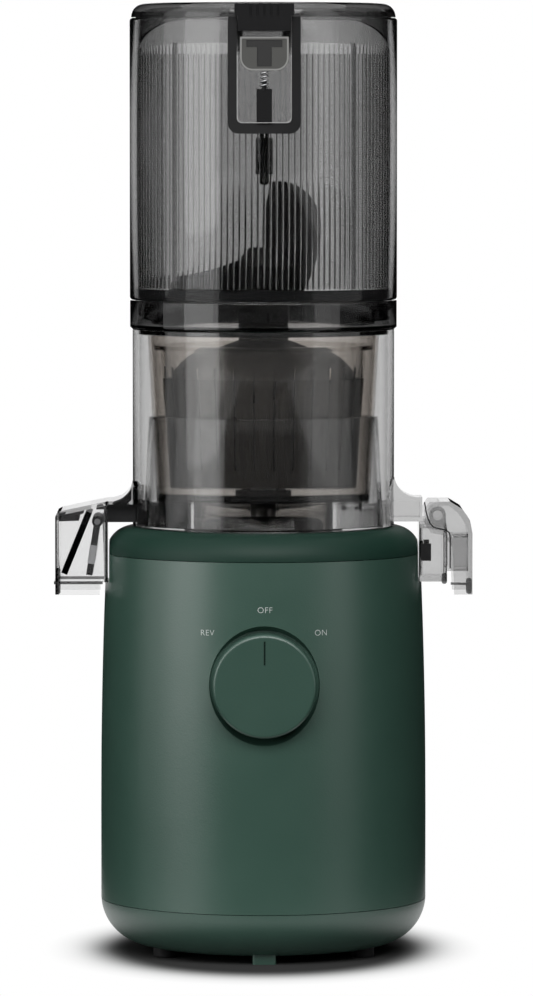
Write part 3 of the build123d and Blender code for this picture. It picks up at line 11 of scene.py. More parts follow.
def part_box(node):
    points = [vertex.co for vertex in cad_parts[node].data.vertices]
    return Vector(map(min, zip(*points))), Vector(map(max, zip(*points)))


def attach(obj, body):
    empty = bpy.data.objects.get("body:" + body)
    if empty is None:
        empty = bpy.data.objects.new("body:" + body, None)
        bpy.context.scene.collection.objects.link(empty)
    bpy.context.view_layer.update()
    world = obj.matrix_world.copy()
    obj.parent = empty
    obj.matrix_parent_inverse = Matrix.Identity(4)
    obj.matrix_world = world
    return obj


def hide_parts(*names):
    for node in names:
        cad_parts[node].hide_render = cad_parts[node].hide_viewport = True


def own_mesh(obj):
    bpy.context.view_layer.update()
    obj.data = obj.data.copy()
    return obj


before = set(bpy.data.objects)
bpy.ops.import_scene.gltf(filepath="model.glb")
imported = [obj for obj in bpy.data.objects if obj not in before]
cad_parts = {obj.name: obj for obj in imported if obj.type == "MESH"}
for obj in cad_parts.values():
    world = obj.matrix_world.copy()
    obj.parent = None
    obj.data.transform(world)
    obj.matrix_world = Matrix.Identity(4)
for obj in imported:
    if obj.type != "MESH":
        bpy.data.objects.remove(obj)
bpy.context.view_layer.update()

MM = 0.001
TURN = 2 * math.pi
MERGE = 2e-6                  # points nearer than this are one point
NO_LENGTH = 1e-7              # edges shorter than this are taken out
SAME_LEVEL = 1e-6             # heights nearer than this are one level

# ---------------------------------------------------------------- sizes, from the frame where it gives them
HOPPER_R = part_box("hopper_floor")[1].x + 2.5 * MM     # outside of the hopper's wall
HOPPER_WALL = 2.4 * MM
HOPPER_BOTTOM = 313.5 * MM
HOPPER_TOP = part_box("window_frame")[1].z
WINDOW_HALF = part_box("window_frame")[1].x
WINDOW_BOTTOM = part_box("window_frame")[0].z
WINDOW_CORNER = 5.0 * MM
WALL_COLUMNS = 360            # steps round a plain wall
FLUTES = 132
FLUTE_COLUMNS = 16            # steps round each flute
FLUTE_DEPTH = 0.5 * MM
FLUTE_Z = (319.8 * MM, 430.4 * MM)
LUGS = 4
LUG_ANGLE = math.radians(-105.5)      # middle of the first bayonet lug
LUG_SPAN = math.radians(33)
RIB_ANGLES = (-133.5, -46.5)          # degrees
RIB_SPAN = 0.0155                     # radians
RIB_Z = (319.6 * MM, 433.5 * MM, 435.5 * MM)
ROD_Y = (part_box("lock_rod")[0].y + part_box("lock_rod")[1].y) / 2
GUIDE_Z = (374.0 * MM, 391.0 * MM)
LID_PIN = (69.0, 446.0)               # y and z in millimetres
SKIRT_STEPS, BOWL_STEPS = 256, 192    # steps round the chamber's turned walls
CHAMBER_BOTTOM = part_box("chamber_bowl")[0].z
CHAMBER_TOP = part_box("chamber_bowl")[1].z
LEDGE_Z = (309.0 * MM, 312.0 * MM)    # the lugs pass under these ledges
STRAINER_PART_Z = 276.5 * MM          # grey below, clear above
TONGUE_SEAT = 414.0 * MM              # where the latch's spring stands
SPRING_Y = -66.0 * MM
FLAP_LEAN = math.radians(8.7)
BARREL_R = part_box("body_shell")[1].x
BARREL_STRAIGHT = 70.0 * MM           # the barrel is straight up to this height
BARREL_RISE, BARREL_LEAN = 121.6 * MM, 2.7 * MM       # and over this rise it leans in by this much
PRINTED = (("OFF", 0.2, 169.3), ("REV", -27.5, 158.4), ("ON", 27.2, 158.4))     # across and up, millimetres
LETTER_HEIGHT = 2.9 * MM
CAPITAL = 0.73                        # height of a capital, as a part of the font's size
PRINT_GAP = 0.05 * MM

# ---------------------------------------------------------------- camera and light
CAMERA_PLACE = (-0.022, -3.175, 0.405)
CAMERA_TARGET = (0.0015, 0.0, 0.2178)
CAMERA_LENS = 239.0
LAMP_TARGET = (0.0, 0.0, 0.22)
AMBIENT = 0.06                        # strength of the surround on matt surfaces
FLOOR_HALF = 6.0
# painted shadow: near the base the floor's own colour is darkened, out to these distances, on top of the
# shadow it catches
PAINTED_SHADOW_EDGE = (0.084, 0.125)          # the floor goes from dark to pale between these distances
GLOW_EDGE = (0.092, 0.14)             # and from lit to plain white between these


# ---------------------------------------------------------------- mesh helpers
def add_mesh(name, verts, faces, smooth_angle=35.0, recalc=True):
    """A mesh object from arrays of points and faces, with doubles merged and normals outwards."""
    mesh = bpy.data.meshes.new(name)
    mesh.from_pydata([tuple(v) for v in np.asarray(verts, float)], [],
                     [tuple(int(i) for i in f) for f in faces])
    work = bmesh.new()
    work.from_mesh(mesh)
    bmesh.ops.remove_doubles(work, verts=work.verts, dist=MERGE)
    bmesh.ops.dissolve_degenerate(work, edges=work.edges, dist=NO_LENGTH)
    if recalc:
        bmesh.ops.recalc_face_normals(work, faces=work.faces)
    work.to_mesh(mesh)
    work.free()
    obj = bpy.data.objects.new(name, mesh)
    bpy.context.scene.collection.objects.link(obj)
    shade(obj, smooth_angle)
    return obj


def shade(obj, smooth_angle):
    """Smooth shading, with edges sharper than the angle kept sharp."""
    mesh = obj.data
    mesh.polygons.foreach_set("use_smooth", np.ones(len(mesh.polygons), bool))
    mesh.set_sharp_from_angle(angle=math.radians(smooth_angle))


def quads(rows, columns, wrap_rows=False, wrap_columns=False):
    """Quads of a grid of points, as an array of four indices each."""
    i = np.arange(rows if wrap_rows else rows - 1)[:, None]
    j = np.arange(columns if wrap_columns else columns - 1)[None, :]
    i2, j2 = (i + 1) % rows, (j + 1) % columns
    corners = i * columns + j, i2 * columns + j, i2 * columns + j2, i * columns + j2
    return np.stack(np.broadcast_arrays(*corners), -1).reshape(-1, 4)


def around(count):
    """Angles of equal steps round a full turn."""
    return np.arange(count) * TURN / count


def polar(radius, angle, height):
    """Points at a radius, an angle from +X towards +Y, and a height."""
    radius, angle, height = np.broadcast_arrays(radius, angle, height)
    return np.stack([radius * np.cos(angle), radius * np.sin(angle), height], -1)


def rounded(corners, steps=5):
    """Outline through corners (a, b, fillet radius), each corner replaced by an arc of that radius."""
    points = []
    count = len(corners)
    for k in range(count):
        here = np.array(corners[k][:2], float)
        radius = corners[k][2]
        before = np.array(corners[k - 1][:2], float) - here
        after = np.array(corners[(k + 1) % count][:2], float) - here
        if radius <= 0:
            points.append(here)
            continue
        before, after = before / np.linalg.norm(before), after / np.linalg.norm(after)
        half = math.acos(max(-1.0, min(1.0, float(before @ after)))) / 2
        reach = radius / math.tan(half)
        centre = here + (before + after) / np.linalg.norm(before + after) * radius / math.sin(half)
        start, end = here + before * reach - centre, here + after * reach - centre
        sweep = math.pi - 2 * half
        for s in range(steps + 1):
            t = s / steps
            arc = (math.sin((1 - t) * sweep) * start + math.sin(t * sweep) * end) / math.sin(sweep)
            points.append(centre + arc)
    return np.array(points)


def turned(name, corners, segments):
    """Closed ring or body turned about Z from a rounded outline (radius, height, fillet) in millimetres."""
    outline = rounded(corners) * MM
    angle = around(segments)
    points = polar(outline[:, None, 0], angle[None, :], outline[:, None, 1])
    return add_mesh(name, points.reshape(-1, 3), quads(len(outline), segments, True, True))


def lofted(name, sections, smooth_angle=40.0):
    """Closed solid through rings of points, one array (rings, points, 3), capped at both ends."""
    rings, count = sections.shape[:2]
    faces = [tuple(q) for q in quads(rings, count, False, True)]
    faces.append(tuple(range(count)))
    faces.append(tuple(range((rings - 1) * count, rings * count)))
    return add_mesh(name, sections.reshape(-1, 3), faces, smooth_angle)


def prism(name, loops, low, high, axis):
    """Flat outline with its holes, carried from low to high along an axis (0 = X, 1 = Y, 2 = Z)."""
    flat = np.concatenate(loops)
    count = len(flat)
    points = np.empty((2, count, 3))
    points[:, :, [k for k in range(3) if k != axis]] = flat
    points[0, :, axis], points[1, :, axis] = low, high
    caps = np.array(tessellate_polygon([[Vector((*point, 0)) for point in loop] for loop in loops]))
    faces = [tuple(t) for t in np.concatenate([caps, caps[:, ::-1] + count])]
    start = 0
    for loop in loops:
        here = start + np.arange(len(loop))
        after = start + (np.arange(len(loop)) + 1) % len(loop)
        faces += [tuple(q) for q in np.stack([here, after, after + count, here + count], -1)]
        start += len(loop)
    return add_mesh(name, points.reshape(-1, 3), faces)


def circle(a, b, radius, count=40):
    """Outline of a circle about (a, b), all given in millimetres."""
    turn = around(count)
    return np.stack([a + radius * np.cos(turn), b + radius * np.sin(turn)], -1) * MM


def ribbon(points, width):
    """Outline of a flat band along a line: each point is moved half the width to either side."""
    points = np.array(points)
    along = np.gradient(points, axis=0)
    side = np.stack([-along[:, 1], along[:, 0]], -1)
    side *= width / 2 / np.linalg.norm(side, axis=1, keepdims=True)
    return np.concatenate([points + side, (points - side)[::-1]])


def bar(x0, x1, top, bottom, fillet):
    """Outline of an upright bar with rounded corners, all given in millimetres."""
    return rounded([(x0, top, fillet), (x1, top, fillet), (x1, bottom, fillet), (x0, bottom, fillet)]) * MM


def dress(piece, finish, body):
    """Give a piece its finish, and attach it to the body it rides."""
    piece.data.materials.append(FINISH[finish])
    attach(piece, body)


# ---------------------------------------------------------------- shader maths
class Value:
    """A shader socket with arithmetic: an expression on it adds Math nodes."""

    def __init__(self, build, socket):
        self.build, self.socket = build, socket

    def math(self, operation, *others):
        """Any other Math node with this value first."""
        return self.build.node("ShaderNodeMath", {"operation": operation}, [self, *others])

    def __add__(self, other):
        return self.math("ADD", other)

    __radd__ = __add__

    def __mul__(self, other):
        return self.math("MULTIPLY", other)

    __rmul__ = __mul__


class Shader:
    """A shader under construction on the node tree of a material or a world."""

    def __init__(self, owner, output_kind):
        owner.use_nodes = True
        self.owner, self.tree = owner, owner.node_tree
        self.tree.nodes.clear()
        self.output = self.tree.nodes.new(output_kind)

    def feed(self, socket, value):
        """Link a value to a socket, or set a plain number or colour on it."""
        if isinstance(value, Value):
            self.tree.links.new(value.socket, socket)
        else:
            socket.default_value = value

    def node(self, kind, settings=None, inputs=(), output=0):
        """Any node, with its settings and inputs, given by name or in their order; one output comes back."""
        made = self.tree.nodes.new(kind)
        for key, value in (settings or {}).items():
            setattr(made, key, value)
        pairs = inputs.items() if isinstance(inputs, dict) else enumerate(inputs)
        for key, value in pairs:
            self.feed(made.inputs[key], value)
        return Value(self, made.outputs[output])

    def place(self, scale=(1.0, 1.0, 1.0)):
        """The point on the object, stretched by a scale."""
        where = self.node("ShaderNodeTexCoord", output="Object")
        return self.node("ShaderNodeMapping", {}, {"Vector": where, "Scale": scale})

    def noise(self, scale, detail=3.0, roughness=0.55, stretch=(1.0, 1.0, 1.0)):
        """Noise from 0 to 1 over the object, with its scale in waves per metre."""
        return self.node("ShaderNodeTexNoise", {}, {
            "Vector": self.place(stretch), "Scale": scale, "Detail": detail, "Roughness": roughness})

    def blend_colours(self, mask, first, second):
        """The first colour where the mask is 0, and the second where it is 1."""
        return self.node("ShaderNodeMix", {"data_type": "RGBA"}, {"Factor": mask, "A": first, "B": second},
                         output="Result")

    def bump(self, height, strength, distance):
        """A normal tilted by a height field, with its full depth in metres."""
        return self.node("ShaderNodeBump", {}, {"Height": height, "Strength": strength, "Distance": distance})

    def fade(self, value, edges):
        """0 below the first edge, 1 above the second, smooth between them."""
        return self.node("ShaderNodeMapRange", {"interpolation_type": "SMOOTHSTEP"},
                         {"Value": value, "From Min": edges[0], "From Max": edges[1]})

    def principled(self, **inputs):
        """The surface shader, its sockets named with _ for each space."""
        return self.node("ShaderNodeBsdfPrincipled", {}, {k.replace("_", " "): v for k, v in inputs.items()})

    def mix(self, factor, first, second):
        """One shader over another: the first at 0, the second at 1."""
        return self.node("ShaderNodeMixShader", {}, {0: factor, 1: first, 2: second})

    def seen_directly(self):
        """1 for rays from the camera, mirrored rays and rays through clear walls; 0 for matt bounces."""
        paths = [self.node("ShaderNodeLightPath", output=k)
                 for k in ("Is Camera Ray", "Is Glossy Ray", "Is Transmission Ray")]
        return paths[0].math("MAXIMUM", paths[1]).math("MAXIMUM", paths[2])

    def done(self, surface, volume=None):
        """Wire up the output and give back the material or world."""
        self.feed(self.output.inputs["Surface"], surface)
        if volume:
            self.feed(self.output.inputs["Volume"], volume)
        return self.owner


def material(name):
    """A new empty material, ready to build on."""
    return Shader(bpy.data.materials.new(name), "ShaderNodeOutputMaterial")


def linear(red, green, blue):
    """Linear colour of a screen colour given in 0 to 255, none of them below 11."""
    return tuple(((c / 255 + 0.055) / 1.055) ** 2.4 for c in (red, green, blue)) + (1.0,)


def grey(level):
    """Neutral colour of a brightness from 0 to 1."""
    return (level, level, level, 1.0)


# ---------------------------------------------------------------- finishes
def moulded(name, colour, roughness, grain, specular, grain_scale=2600.0):
    """Moulded plastic: a very fine pebble grain, and a slight drift of colour and roughness."""
    make = material(name)
    drift = make.noise(38.0, 2.0)
    fine = make.noise(grain_scale, 2.0, 0.6)
    darker, lighter = (tuple(c * level for c in colour[:3]) + (1.0,) for level in (0.94, 1.06))
    return make.done(make.principled(
        Base_Color=make.blend_colours(drift, darker, lighter),
        Roughness=roughness - 0.04 + drift * 0.08,
        Specular_IOR_Level=specular,
        Normal=make.bump(fine, 0.35 * grain, 0.16 / grain_scale),
    ))


def soft_rubber(name, colour):
    """Black silicone: matt with a dusty bloom."""
    make = material(name)
    dust = make.noise(140.0, 5.0, 0.65)
    fine = make.noise(1500.0, 3.0)
    pale = tuple(c + 0.012 for c in colour[:3]) + (1.0,)
    return make.done(make.principled(
        Base_Color=make.blend_colours(dust, colour, pale),
        Roughness=0.55 + dust * 0.2,
        Specular_IOR_Level=0.18,
        Normal=make.bump(fine, 0.3, 0.00008),
    ))


def metal(name, colour, roughness=0.28, brushed=(1.0, 1.0, 30.0)):
    """Turned or brushed metal with fine lines along one direction."""
    make = material(name)
    lines = make.noise(260.0, 4.0, 0.7, brushed)
    return make.done(make.principled(
        Base_Color=colour,
        Metallic=1.0,
        Roughness=roughness + lines * 0.15,
        Normal=make.bump(lines, 0.12, 0.00005),
    ))


def clear_parts(make, tint, density, roughness=0.03, ior=1.46, veil=1.0):
    """Surface and volume of clear tinted plastic: refraction, with the tint taken up along the way through
    the wall, and a grey veil on each face it is seen through."""
    flow = make.noise(30.0, 2.0)
    surface = make.principled(
        Base_Color=grey(veil),
        Roughness=roughness + flow * 0.03,
        Transmission_Weight=1.0,
        IOR=ior,
        Specular_IOR_Level=0.36,
    )
    return surface, make.node("ShaderNodeVolumeAbsorption", {}, {"Color": tint, "Density": density})


def clear_plastic(name, *looks):
    """A finish of clear plastic, with its tint, density and, where they differ, roughness, index and veil."""
    make = material(name)
    return make.done(*clear_parts(make, *looks))


def strainer_plastic(name):
    """Grey basket with a clear smoke rim: one moulding on top of another, parted at a height. The basket's
    vertical streaks are partly its ribbed pattern and partly painted highlight and shade.
    """
    make = material(name)
    rim, smoke = clear_parts(make, WARM_SMOKE, 90.0, 0.03, 1.34)
    # painted highlight and shade: light and dark vertical streaks in the basket's colour, partly its ribs and
    # slots and partly the highlights and shade on them
    streaks_and_sheen = make.noise(700.0, 3.0, 0.6, (1.0, 1.0, 0.02))
    basket = make.principled(
        Base_Color=make.blend_colours(streaks_and_sheen, linear(20, 19, 18), linear(72, 69, 63)),
        Roughness=0.4,
        Specular_IOR_Level=0.3,
    )
    height = make.node("ShaderNodeSeparateXYZ", {}, [make.place()], output=2)
    return make.done(make.mix(height.math("GREATER_THAN", STRAINER_PART_Z), basket, rim), smoke)


SMOKE = linear(90, 90, 90)
DENSE_SMOKE = linear(70, 70, 70)
WARM_SMOKE = linear(140, 118, 88)
PALE = linear(160, 160, 160)
FINISH = dict(
    green=moulded("satin_green_housing", linear(57, 86, 75), 0.36, 1.0, 0.8, grain_scale=1100.0),
    # painted shade: the top cover's green is a darker copy of the housing's green, for the shade on the
    # shoulder
    cover=moulded("satin_green_painted_shade", linear(28, 54, 45), 0.5, 1.0, 0.2, grain_scale=1100.0),
    # painted shade: the colour of the shade in the knob's indicator groove and round the knob
    line=moulded("painted_groove_shade", linear(18, 34, 28), 0.5, 0.3, 0.2),
    label=moulded("pale_print", linear(206, 212, 209), 0.5, 0.3, 0.3),
    dark=moulded("black_moulding", linear(28, 28, 29), 0.42, 0.7, 0.15),
    grey=moulded("grey_screw_plastic", linear(50, 48, 44), 0.4, 0.5, 0.3),
    wing=moulded("charcoal_wing_plastic", linear(58, 58, 58), 0.4, 0.5, 0.25),
    rubber=soft_rubber("black_silicone", linear(26, 26, 27)),
    steel=metal("ground_steel", linear(190, 190, 192)),
    iron=metal("laminated_iron", linear(110, 110, 114), 0.45, (1.0, 1.0, 60.0)),
    copper=metal("enamelled_copper", linear(190, 110, 70), 0.35, (60.0, 1.0, 1.0)),
    gear=moulded("ivory_acetal", linear(214, 206, 184), 0.4, 0.4, 0.4),
    board=moulded("green_board", linear(30, 92, 52), 0.4, 0.4, 0.5),
    hopper=clear_plastic("smoke_clear_hopper", SMOKE, 130.0, 0.03, 1.36),
    liner=clear_plastic("smoke_clear_flutes", SMOKE, 640.0),
    rib=clear_plastic("smoke_clear_ribs", DENSE_SMOKE, 900.0),
    dense=clear_plastic("dense_smoke_rim", DENSE_SMOKE, 420.0),
    chamber=clear_plastic("smoke_clear_skirt", linear(100, 100, 99), 90.0, 0.03, 1.38),
    bowl=clear_plastic("warm_smoke_bowl", WARM_SMOKE, 190.0, 0.03, 1.34),
    strainer=strainer_plastic("grey_strainer_with_clear_rim"),
    lid=clear_plastic("smoke_clear_lid", linear(80, 80, 80), 420.0),
    spout=clear_plastic("pale_clear_spout", PALE, 30.0, 0.04, 1.46, 0.76),
    hood=clear_plastic("pale_clear_hood", PALE, 40.0, 0.03, 1.46, 0.92),
    plate=moulded("mid_grey_plate", linear(88, 88, 86), 0.4, 0.5, 0.3),
    trim=moulded("light_grey_trim", linear(150, 150, 148), 0.35, 0.4, 0.4),
)


# ---------------------------------------------------------------- hopper
def wall_with_window(name, z, r_out, r_in, window_half=WINDOW_HALF):
    """Upright wall between an outer and an inner radius, each an array (heights, steps round), open at the
    front window.  Strips close the rims and the window's edges.  The sill rises to its sides as a quarter
    circle: z = sill + c - sqrt(c^2 - (|x| - half + c)^2).  A negative half width leaves the wall whole."""
    rows, columns = r_out.shape
    angles = around(columns)
    across = np.abs(r_out.mean() * np.cos(angles))
    near_window = (across < window_half + 1 * MM) & (np.sin(angles) < 0)
    corner = np.where(near_window, np.clip(across - window_half + WINDOW_CORNER, 0, WINDOW_CORNER), 0)
    rise = WINDOW_CORNER - np.sqrt(WINDOW_CORNER ** 2 - corner ** 2)
    is_sill = np.abs(z - WINDOW_BOTTOM) < SAME_LEVEL
    heights = z[:, None] + is_sill[:, None] * rise
    points = np.concatenate([polar(r, angles, heights).reshape(-1, 3) for r in (r_out, r_in)])
    inner = rows * columns
    middle = angles + TURN / columns / 2
    in_window = (np.abs(np.cos(middle)) * r_out.mean() < window_half) & (np.sin(middle) < 0)
    above = z[:-1] > WINDOW_BOTTOM - SAME_LEVEL
    solid = ~(above[:, None] & in_window)
    cells = quads(rows, columns, False, True).reshape(rows - 1, columns, 4)
    faces = [cells[solid][:, ::-1], cells[solid] + inner]
    ring = np.arange(columns)
    after = (ring + 1) % columns

    def strip(row, mask):
        a, b = row * columns + ring[mask], row * columns + after[mask]
        return np.stack([a, b, b + inner, a + inner], -1)

    faces.append(strip(0, np.ones(columns, bool)))
    faces.append(strip(rows - 1, ~in_window))
    if above.any():
        sill = int(np.argmax(above))
        faces.append(strip(sill, in_window))
        for j in np.nonzero(in_window != np.roll(in_window, 1))[0]:
            low = np.arange(sill, rows - 1) * columns + j
            faces.append(np.stack([low, low + columns, low + columns + inner, low + inner], -1))
    return add_mesh(name, points, np.concatenate(faces), 50.0)


def hopper_wall():
    """Tall plain wall of the hopper, its rims rounded: the outer radius drops towards both ends."""
    rim = np.array([0.0, 0.4, 1.2]) * MM
    drop = np.array([0.9, 0.3, 0.0, 0.0, 0.0, 0.3, 0.9]) * MM
    z = np.concatenate([HOPPER_BOTTOM + rim, [WINDOW_BOTTOM], HOPPER_TOP - rim[::-1]])
    r_out = np.repeat((HOPPER_R - drop)[:, None], WALL_COLUMNS, axis=1)
    return wall_with_window("hopper_wall", z, r_out, np.full_like(r_out, HOPPER_R - HOPPER_WALL))


def fluted_liner():
    """Fluted inner layer: r = R - depth * (0.5 + 0.5 cos(n a)) ^ 12, fading out at its two edges."""
    low, high = FLUTE_Z
    gap, layer, fade = 0.1 * MM, 0.7 * MM, 1.6 * MM
    z = np.array([low, low + fade, WINDOW_BOTTOM, high - fade, high])
    depth = FLUTE_DEPTH * np.array([0.0, 1.0, 1.0, 1.0, 0.2])
    wave = (0.5 + 0.5 * np.cos(FLUTES * around(FLUTES * FLUTE_COLUMNS))) ** 12
    outer = HOPPER_R - HOPPER_WALL - gap
    r_in = outer - layer - depth[:, None] * wave
    return wall_with_window("fluted_liner", z, np.full_like(r_in, outer), r_in)


def hopper_spigot():
    """Tube below the wall with bayonet lugs: its outer radius steps out over each lug's angle and height."""
    outer, bore, lug_r, step = 59.4 * MM, 57.0 * MM, 61.2 * MM, 0.05 * MM
    bottom, lug_bottom, lug_top, top = 303.6 * MM, 303.9 * MM, 308.4 * MM, 314.4 * MM
    angles = around(WALL_COLUMNS)
    z = np.array([bottom, lug_bottom - step, lug_bottom + step, lug_top - step, lug_top + step, top])
    on_lug = np.zeros(WALL_COLUMNS, bool)
    for k in range(LUGS):
        middle = LUG_ANGLE + k * TURN / LUGS
        on_lug |= np.abs((angles - middle + math.pi) % TURN - math.pi) < LUG_SPAN / 2
    is_lug = ((z > lug_bottom) & (z < lug_top))[:, None] & on_lug
    r_out = np.where(is_lug, lug_r, outer)
    return wall_with_window("hopper_spigot", z, r_out, np.full_like(r_out, bore), window_half=-1.0)


def hopper_ribs():
    """Guide ribs inside the wall: a block between two radii and two angles, drawn in at its upper end."""
    back, front, lean = 0.15 * MM, 2.2 * MM, 0.6 * MM
    r = HOPPER_R - HOPPER_WALL - np.array([back, back, front, front])
    ribs = []
    for k, middle in enumerate(map(math.radians, RIB_ANGLES)):
        a = middle + np.array([-0.5, 0.5, 0.5, -0.5]) * RIB_SPAN
        sections = [polar(r - inward, a, z) for z, inward in zip(RIB_Z, (0.0, 0.0, lean))]
        ribs.append(lofted("hopper_rib_%d" % k, np.stack(sections)))
    return ribs


def rod_guide():
    """Guide of the lock rod: a tube, square on its front half, r = min(outer / |cos a|, reach / |sin a|)."""
    bore, outer, reach, sides = 2.3, 4.05, 4.6, 48
    low, high = GUIDE_Z
    turn = around(sides)
    across, forward = np.maximum(np.abs(np.cos(turn)), 1e-6), np.maximum(-np.sin(turn), 1e-6)
    outside = np.where(np.sin(turn) < 0, np.minimum(outer / across, reach / forward), outer)
    radius = np.array([np.full(sides, bore), outside, outside, np.full(sides, bore)]) * MM
    points = polar(radius, turn, np.array([low, low, high, high])[:, None])
    points[..., 1] += ROD_Y
    return add_mesh("rod_guide", points.reshape(-1, 3), quads(4, sides, True, True))


def hinge_ears():
    """Two ears behind the rim that hold the lid's pin: an outline with a hole, carried along X."""
    outline = rounded([(61.9, 432.4, 0), (73.0, 444.9, 1.0), (73.0, 450.0, 3.9), (65.0, 450.0, 3.0),
                       (64.7, 447.4, 0.3), (61.9, 447.4, 0)]) * MM
    hole = circle(*LID_PIN, 1.66)
    thick = 4.5
    return [prism("hinge_ear_" + side, [outline, hole], low * MM, (low + thick) * MM, 0)
            for side, low in (("left", -14.5), ("right", 10.0))]


def hopper():
    """Everything that stands for the hopper's clear moulding."""
    wall = hopper_wall()
    pieces = [(wall, "hopper"), (fluted_liner(), "liner"), (hopper_spigot(), "dense")]
    pieces += [(rib, "rib") for rib in hopper_ribs()]
    pieces += [(rod_guide(), "hopper")]
    pieces += [(ear, "dense") for ear in hinge_ears()]
    for piece, finish in pieces:
        dress(piece, finish, "hopper")
    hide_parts("hopper")


# ---------------------------------------------------------------- chamber
def collar_ledge(k):
    """Ledge in the collar that takes one bayonet lug: a flat arc between two radii."""
    outer, inner, half = 61.7 * MM, 59.9 * MM, 12
    span = LUG_ANGLE + k * TURN / LUGS + np.radians(np.linspace(-half, half, 13))
    arcs = [polar(r, a, 0)[:, :2] for r, a in ((outer, span), (inner, span[::-1]))]
    return prism("collar_ledge_%d" % k, [np.concatenate(arcs)], *LEDGE_Z, 2)


def chamber():
    """Skirt, collar, bowl and inner skirt of the chamber, each turned about Z and closed, and the ledges.
    The outlines are (radius, height, fillet) in millimetres."""
    foot, brim = CHAMBER_BOTTOM / MM, CHAMBER_TOP / MM
    skirt_r, skirt_bore, skirt_top = 62.8, 60.5, 299.2
    skirt = turned("chamber_skirt", [
        (skirt_r, foot, 0.5), (skirt_r, skirt_top, 0), (skirt_bore, skirt_top, 0),
        (skirt_bore, foot, 0.5)], SKIRT_STEPS)
    seam, collar_bottom, shelf = skirt_top + 0.05, 297.0, 301.3
    collar = turned("chamber_collar", [
        (skirt_r, seam, 0.4), (64.0, 300.4, 0.5), (64.0, brim, 0.6), (61.6, brim, 0.6), (61.6, shelf, 0.4),
        (53.6, shelf, 0.8), (53.6, collar_bottom, 0.4), (60.4, collar_bottom, 0.4),
        (60.4, seam, 0.2)], SKIRT_STEPS)
    under, floor, rim, seat, tube_top = 219.0, 222.0, 296.9, 206.8, 245.0
    bowl = turned("chamber_cone", [
        (51.3, under, 1.2), (55.7, rim, 0), (53.5, rim, 0), (49.2, floor, 1.0), (10.6, floor, 1.0),
        (10.4, tube_top, 0.4), (7.8, tube_top, 0.4), (7.8, under, 0.4), (31.2, under, 0.2), (31.2, seat, 0.4),
        (33.5, seat, 0.4), (33.5, under, 0.2)], BOWL_STEPS)
    inner = turned("chamber_inner_skirt", [
        (55.0, 259.0, 0.6), (57.7, 206.0, 0.4), (55.9, 206.0, 0.4), (53.4, 258.0, 0.2)], BOWL_STEPS)
    ledges = [(collar_ledge(k), "dense") for k in range(LUGS)]
    for piece, finish in ((skirt, "chamber"), (collar, "dense"), (bowl, "bowl"), (inner, "chamber"), *ledges):
        dress(piece, finish, "chamber")
    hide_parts("chamber_bowl")


# ---------------------------------------------------------------- small trim, outlines in millimetres
def latch_trim():
    """Dark T that fills the recess of the push plate, and a light rim along the plate's edge: flat outlines
    carried along Y, the rim's with the same outline further in as its hole."""
    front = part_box("latch_button")[0].y
    arm, stem, top, under, foot = 8.4, 3.4, 436.8, 433.6, 424.6
    mark = np.array([(-arm, top), (-arm, under), (-stem, under), (-stem, foot), (stem, foot), (stem, under),
                     (arm, under), (arm, top)]) * MM
    letter = prism("latch_recess", [mark], front + 0.3 * MM, front + 1.25 * MM, 1)
    half, plate_top, plate_bottom, corner = 11.5, 438.5, 422.5, 6.0
    edges = [rounded([(inset - half, plate_top - inset, 0.6), (half - inset, plate_top - inset, 0.6),
                      (half - inset, plate_bottom + inset, corner - inset),
                      (inset - half, plate_bottom + inset, corner - inset)], 8) * MM for inset in (0.1, 0.9)]
    rim = prism("latch_rim", edges, front - 0.2 * MM, front + 0.1 * MM, 1)
    for piece, finish in ((letter, "wing"), (rim, "trim")):
        dress(piece, finish, "latch_button")


def latch_coil():
    """Spring of the push plate: a wire carried along a helix, from the tongue's seat up to the plate."""
    turns, steps, sides = 4, 28, 10
    coil_r, wire_r, gap = 1.6 * MM, 0.35 * MM, 0.4 * MM
    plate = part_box("latch_button")[0].z
    low, high = TONGUE_SEAT + gap, plate - gap
    turn = np.linspace(0, turns * TURN, turns * steps + 1)[:, None]
    rise = (high - low) / (turns * TURN)
    outward = np.stack([np.cos(turn), np.sin(turn), 0 * turn], -1)
    forward = np.stack([-coil_r * np.sin(turn), coil_r * np.cos(turn), rise + 0 * turn], -1)
    forward /= np.linalg.norm(forward, axis=-1, keepdims=True)
    ring = around(sides)[None, :, None]
    centre = coil_r * outward + np.stack([0 * turn, 0 * turn + SPRING_Y, low + rise * turn], -1)
    tube = centre + wire_r * (np.cos(ring) * outward + np.sin(ring) * np.cross(forward, outward))
    coil = lofted("latch_coil", tube, 60.0)
    dress(coil, "steel", "lid")
    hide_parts("latch_spring")
    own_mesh(coil)


def knob_groove_shade():
    """Painted shade in the knob's indicator groove, below the rim: a dark strip in the colour of the groove's
    shade, carried along Y.
    """
    half, low, high = 0.4, 144.2, 155.3
    strip = np.array([(-half, low), (half, low), (half, high), (-half, high)]) * MM
    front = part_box("control_knob")[0].y
    line = prism("knob_groove_shade", [strip], front + 0.02 * MM, front + 0.4 * MM, 1)
    dress(line, "line", "knob")


def flap_band():
    """Steel band round the flap: its corners lie along and across the flap's slanted middle line, and it is
    carried along Y, past both sides of the flap."""
    near, far, half_thick, half_width = 11.5, 20.5, 1.75, 15.7 * MM
    along = np.array([-math.sin(FLAP_LEAN), -math.cos(FLAP_LEAN)])
    across = np.array([math.cos(FLAP_LEAN), -math.sin(FLAP_LEAN)])
    pivot = (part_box("flap_pin")[0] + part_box("flap_pin")[1]) / 2
    corners = [np.array([pivot.x, pivot.z]) + (d * along + w * across) * MM
               for d, w in ((near, -half_thick), (near, half_thick), (far, half_thick), (far, -half_thick))]
    band = prism("flap_band", [np.array(corners)], -half_width, half_width, 1)
    dress(band, "steel", "pulp_flap")


